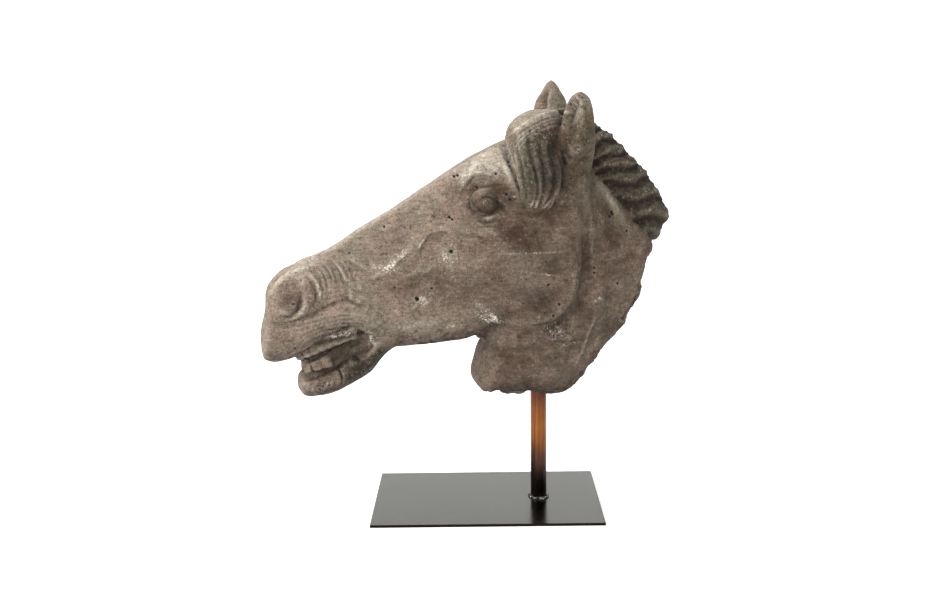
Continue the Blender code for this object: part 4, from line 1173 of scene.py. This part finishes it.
def weathered_cast_stone():
    """Cast stone, poured in a mould and left outside: matt and gritty, darker in its hollows and under its
    overhangs with dirt and painted shade, worn pale on its edges, and paler on ridges and faces turned
    upwards with dust and painted highlights.

    Its real grit is under 1 mm. The specks and grit are drawn 1.4 to 3.5 mm across, so that they show.
    """
    material, tree, shader = new_material("weathered cast stone")
    place = add(tree, "TexCoord").outputs["Object"]
    layer = {name: add(tree, "Attribute", attribute_name=name).outputs["Fac"] for name in LAYERS}
    # Rosy and greenish clouds in the mix
    clouds = add(tree, "TexNoise", {"Vector": place, "Scale": per_mm(30), "Detail": 6.0, "Roughness": 0.6})
    hue = add(tree, "MapRange", {"Value": clouds, "From Min": 0.35, "From Max": 0.65})
    colour = add(tree, "Mix", {0: hue, 6: linear("#6a6052"), 7: linear("#78655a")},
                 data_type="RGBA").outputs[2]
    # The dark wash that was brushed over it and wiped off again, also laid on as painted shade in the eyes,
    # nostrils and mouth and behind the forelock and thinned as painted highlight on the brow, and what
    # weather has added since
    colour = filmed(tree, colour, "#3c2d21", layer["dusk"], place, 26)
    colour = filmed(tree, colour, "#4a4833", layer["moss"], place, 9)
    colour = varied(tree, colour, place, 20, 0.86, 1.14)
    colour = varied(tree, colour, place, 7, 0.84, 1.16)
    brushed = add(tree, "Mapping", {"Vector": place, "Rotation": (0.0, math.radians(-22), 0.0),
                                    "Scale": (0.12, 1.0, 1.0)})
    colour = varied(tree, colour, brushed, 2.0, 0.8, 1.2)
    # A pale film of wear and dust, also laid on as painted highlights on ridges and on faces turned upwards
    colour = filmed(tree, colour, "#b8b09f", layer["cream"], place, 6)
    # Dark specks everywhere and pale knocks, both thicker where the skin is rough
    grubby = add(tree, "Math", {0: layer["rough"], 1: 0.22, 2: 0.24}, operation="MULTIPLY_ADD")
    colour = speckled(tree, colour, "#1c1612", grubby, place, 3.0)
    knocked = add(tree, "Math", {0: layer["rough"], 1: 0.2, 2: 0.14}, operation="MULTIPLY_ADD")
    colour = speckled(tree, colour, "#998f80", knocked, place, 3.5)
    # A dark film of dirt, also laid on as painted shade in hollows and grooves and on faces turned downwards
    colour = filmed(tree, colour, "#241d18", layer["grime"], place, 5)
    colour = speckled(tree, colour, "#2a221b", 0.26, place, 1.8)
    # Chalk where the skin has come off, and black in the bubbles
    colour = speckled(tree, colour, "#cbc3b7", layer["chalk"], place, 2.2, softness=0.08)
    colour = speckled(tree, colour, "#110e0b", layer["pits"], place, 2.0)
    colour = varied(tree, colour, place, 3.2, 0.82, 1.18)
    colour = varied(tree, colour, place, 1.4, 0.74, 1.26)
    tree.links.new(colour, shader.inputs["Base Color"])
    # Grit that can be felt, over shallow dents left by the mould
    dents = add(tree, "TexNoise", {"Vector": place, "Scale": per_mm(6), "Detail": 3.0, "Roughness": 0.6})
    dented = add(tree, "Bump", {"Height": dents, "Strength": 0.8, "Distance": 0.002})
    grit = add(tree, "TexNoise", {"Vector": place, "Scale": per_mm(1.6), "Detail": 4.0, "Roughness": 0.7})
    gritty = add(tree, "Bump", {"Height": grit, "Strength": 0.8, "Distance": 0.0008, "Normal": dented})
    tree.links.new(gritty.outputs[0], shader.inputs["Normal"])
    shader.inputs["Roughness"].default_value = 0.9
    shader.inputs["Specular IOR Level"].default_value = 0.25
    return material


# Colours of the rod from its foot upwards, as the share of the tinted length and the colour: scorched dark
# towards the weld, and darker again at the top as painted shade under the head
HEAT_AND_SHADE_COLOURS = ((0.0, "#0f0d0c"), (0.2, "#1d1715"), (0.38, "#45312a"), (0.52, "#663f22"),
                (0.66, "#7d4d2a"), (0.85, "#6a4129"), (1.0, "#412b21"))
HEAT_AND_SHADE_FROM = 0.008
HEAT_AND_SHADE_TO = 0.13


def coppered_steel():
    """Drawn steel rod plated with copper: a satin streak along it, scorched dark towards the weld, and
    darker at the top as painted shade under the head.

    The scratches of the drawing are drawn 2.2 mm wide, many times coarser than they are, so that they show.
    """
    material, tree, shader = new_material("copper-plated drawn steel")
    place = add(tree, "TexCoord").outputs["Object"]
    height = add(tree, "SeparateXYZ", {0: place}).outputs["Z"]
    drawn = add(tree, "Mapping", {"Vector": place, "Scale": (1.0, 1.0, 0.03)})
    streaks = add(tree, "TexNoise", {"Vector": drawn, "Scale": per_mm(2.2), "Detail": 3.0})
    patches = add(tree, "TexNoise", {"Vector": place, "Scale": per_mm(12), "Detail": 4.0})
    wander = add(tree, "Math", {0: patches, 1: 0.016, 2: height}, operation="MULTIPLY_ADD")
    heat_and_shade = add(tree, "MapRange", {"Value": wander, "From Min": HEAT_AND_SHADE_FROM, "From Max": HEAT_AND_SHADE_TO})
    tones = add(tree, "ValToRGB", {0: heat_and_shade})
    ramp = tones.color_ramp
    for _ in HEAT_AND_SHADE_COLOURS[2:]:
        ramp.elements.new(0.5)
    for element, (share, code) in zip(ramp.elements, HEAT_AND_SHADE_COLOURS):
        element.position = share
        element.color = linear(code)
    streaked = add(tree, "MapRange", {"Value": streaks, "From Min": 0.3, "From Max": 0.7, "To Min": 0.68,
                                      "To Max": 1.25})
    toned = add(tree, "VectorMath", {0: tones, 1: streaked}, operation="MULTIPLY")
    # Bright spatter on the weld
    weld = add(tree, "MapRange", {"Value": height, "From Min": ROD_LOW.z + 0.001,
                                  "From Max": ROD_LOW.z + 0.005, "To Min": 0.4, "To Max": 0.0})
    colour = speckled(tree, toned, "#b9b4ad", weld, place, 1.6)
    tree.links.new(colour, shader.inputs["Base Color"])
    satin = add(tree, "MapRange", {"Value": streaks, "To Min": 0.2, "To Max": 0.38})
    tree.links.new(satin.outputs[0], shader.inputs["Roughness"])
    lumps = add(tree, "Bump", {"Height": streaks, "Strength": 0.25, "Distance": 0.0002})
    tree.links.new(lumps.outputs[0], shader.inputs["Normal"])
    shader.inputs["Metallic"].default_value = 1.0
    return material


def blackened_steel():
    """Cold-rolled sheet, blackened and waxed: satin grey-green on the flat, black on the cut edges.

    Its grain from the rolls is drawn 2.5 mm wide, many times coarser than it is, so that it shows.
    """
    material, tree, shader = new_material("blackened sheet steel")
    place = add(tree, "TexCoord").outputs["Object"]
    grain = add(tree, "Mapping", {"Vector": place, "Scale": (0.12, 1.0, 1.0)})
    rolled = add(tree, "TexNoise", {"Vector": grain, "Scale": per_mm(2.5), "Detail": 4.0})
    clouds = add(tree, "TexNoise", {"Vector": place, "Scale": per_mm(35), "Detail": 5.0})
    tone = add(tree, "Mix", {0: clouds, 6: linear("#4b4a44"), 7: linear("#52524c")},
               data_type="RGBA").outputs[2]
    # Distance from the nearest cut edge, for the burnished line along the top of the edges and for the
    # black of the edges themselves
    sides = add(tree, "VectorMath", {0: place}, operation="ABSOLUTE")
    inset = add(tree, "VectorMath", {0: (PLATE_HIGH.x, PLATE_HIGH.y, 0.0), 1: sides}, operation="SUBTRACT")
    apart = add(tree, "SeparateXYZ", {0: inset})
    nearest = add(tree, "Math", {0: apart.outputs["X"], 1: apart.outputs["Y"]}, operation="MINIMUM")
    burnish = add(tree, "MapRange", {"Value": nearest, "From Min": 0.0004, "From Max": 0.0014,
                                     "To Min": 0.85, "To Max": 0.0})
    burnished = add(tree, "Mix", {0: burnish, 6: tone, 7: linear("#6b4a3a")}, data_type="RGBA").outputs[2]
    edge = add(tree, "MapRange", {"Value": nearest, "From Min": 0.0001, "From Max": 0.0004, "To Min": 1.0,
                                  "To Max": 0.0})
    edged = add(tree, "Mix", {0: edge, 6: burnished, 7: linear("#1d1714")}, data_type="RGBA").outputs[2]
    tree.links.new(edged, shader.inputs["Base Color"])
    satin = add(tree, "MapRange", {"Value": rolled, "To Min": 0.14, "To Max": 0.24})
    tree.links.new(satin.outputs[0], shader.inputs["Roughness"])
    relief = add(tree, "Bump", {"Height": rolled, "Strength": 0.12, "Distance": 0.00008})
    tree.links.new(relief.outputs[0], shader.inputs["Normal"])
    shader.inputs["Metallic"].default_value = 1.0
    return material


def make_studio(floor_radius=4.2, cove=0.3, wall_height=5.0):
    """A white floor that curves up into a wall all round, and a faint light from everywhere."""
    profile = [(0.0, 0.0), (floor_radius, 0.0)]
    profile += [(floor_radius + cove * math.sin(a), cove * (1 - math.cos(a)))
                for a in np.radians(np.arange(10, 91, 10))]
    profile.append((floor_radius + cove, wall_height))
    bm = turned(profile, 96)
    bmesh.ops.reverse_faces(bm, faces=bm.faces)
    mesh = mesh_from(bm, "studio_floor")
    mesh.shade_smooth()
    material, _, shader = new_material("white studio paper")
    shader.inputs["Base Color"].default_value = linear("#f2f2f2")
    shader.inputs["Roughness"].default_value = 1.0
    shader.inputs["Specular IOR Level"].default_value = 0.0
    shader.inputs["Emission Color"].default_value = (1.0, 1.0, 1.0, 1.0)
    shader.inputs["Emission Strength"].default_value = 0.4
    mesh.materials.append(material)
    shown(mesh, "studio_floor")
    world = bpy.data.worlds.new("soft studio light")
    world.use_nodes = True
    background = world.node_tree.nodes["Background"]
    background.inputs["Color"].default_value = (1.0, 1.0, 1.0, 1.0)
    background.inputs["Strength"].default_value = 0.2
    bpy.context.scene.world = world


def make_soft_box(name, place, aim, size, power):
    data = bpy.data.lights.new(name, "AREA")
    data.shape = "RECTANGLE"
    data.size, data.size_y = size
    data.energy = power
    obj = shown(data, name)
    obj.location = place
    obj.rotation_euler = (Vector(aim) - Vector(place)).to_track_quat("-Z", "Y").to_euler()


# The camera, solved from the plate's corners: metres and degrees, for an image 936 pixels wide
CAMERA_PLACE = (-0.00744, -1.19464, 0.44474)
CAMERA_YAW_DEG = -0.488
CAMERA_PITCH_DEG = -10.624
CAMERA_ROLL_DEG = -0.787
FOCAL_PIXELS = 1160.0
IMAGE_WIDTH = 936
SENSOR_MM = 36.0


def make_camera():
    data = bpy.data.cameras.new("camera")
    data.sensor_width = SENSOR_MM
    data.lens = FOCAL_PIXELS / IMAGE_WIDTH * SENSOR_MM
    data.clip_start = 0.01
    obj = shown(data, "camera")
    upright = Matrix.Rotation(math.radians(90 + CAMERA_PITCH_DEG), 4, "X")
    yaw = Matrix.Rotation(math.radians(-CAMERA_YAW_DEG), 4, "Z")
    roll = Matrix.Rotation(math.radians(CAMERA_ROLL_DEG), 4, "Z")
    obj.matrix_world = Matrix.Translation(CAMERA_PLACE) @ yaw @ upright @ roll
    bpy.context.scene.camera = obj


make_camera()
make_studio()
make_soft_box("overhead soft box", place=(-0.5, -0.1, 1.9), aim=(0, 0, 0.25), size=(1.5, 1.3), power=27)
make_soft_box("key soft box", place=(-1.8, -1.1, 1.5), aim=(0, 0, 0.28), size=(1.5, 1.5), power=50)
bpy.context.scene.view_settings.view_transform = "Standard"

for piece, node, finish_slot in (
    (make_head(weathered_cast_stone()), "horse_head", "cast_stone"),
    (make_rod(coppered_steel()), "support_rod", "coppered_steel"),
    (make_plate(blackened_steel()), "base_plate", "blackened_steel"),
):
    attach(piece, "root")
    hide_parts(node)
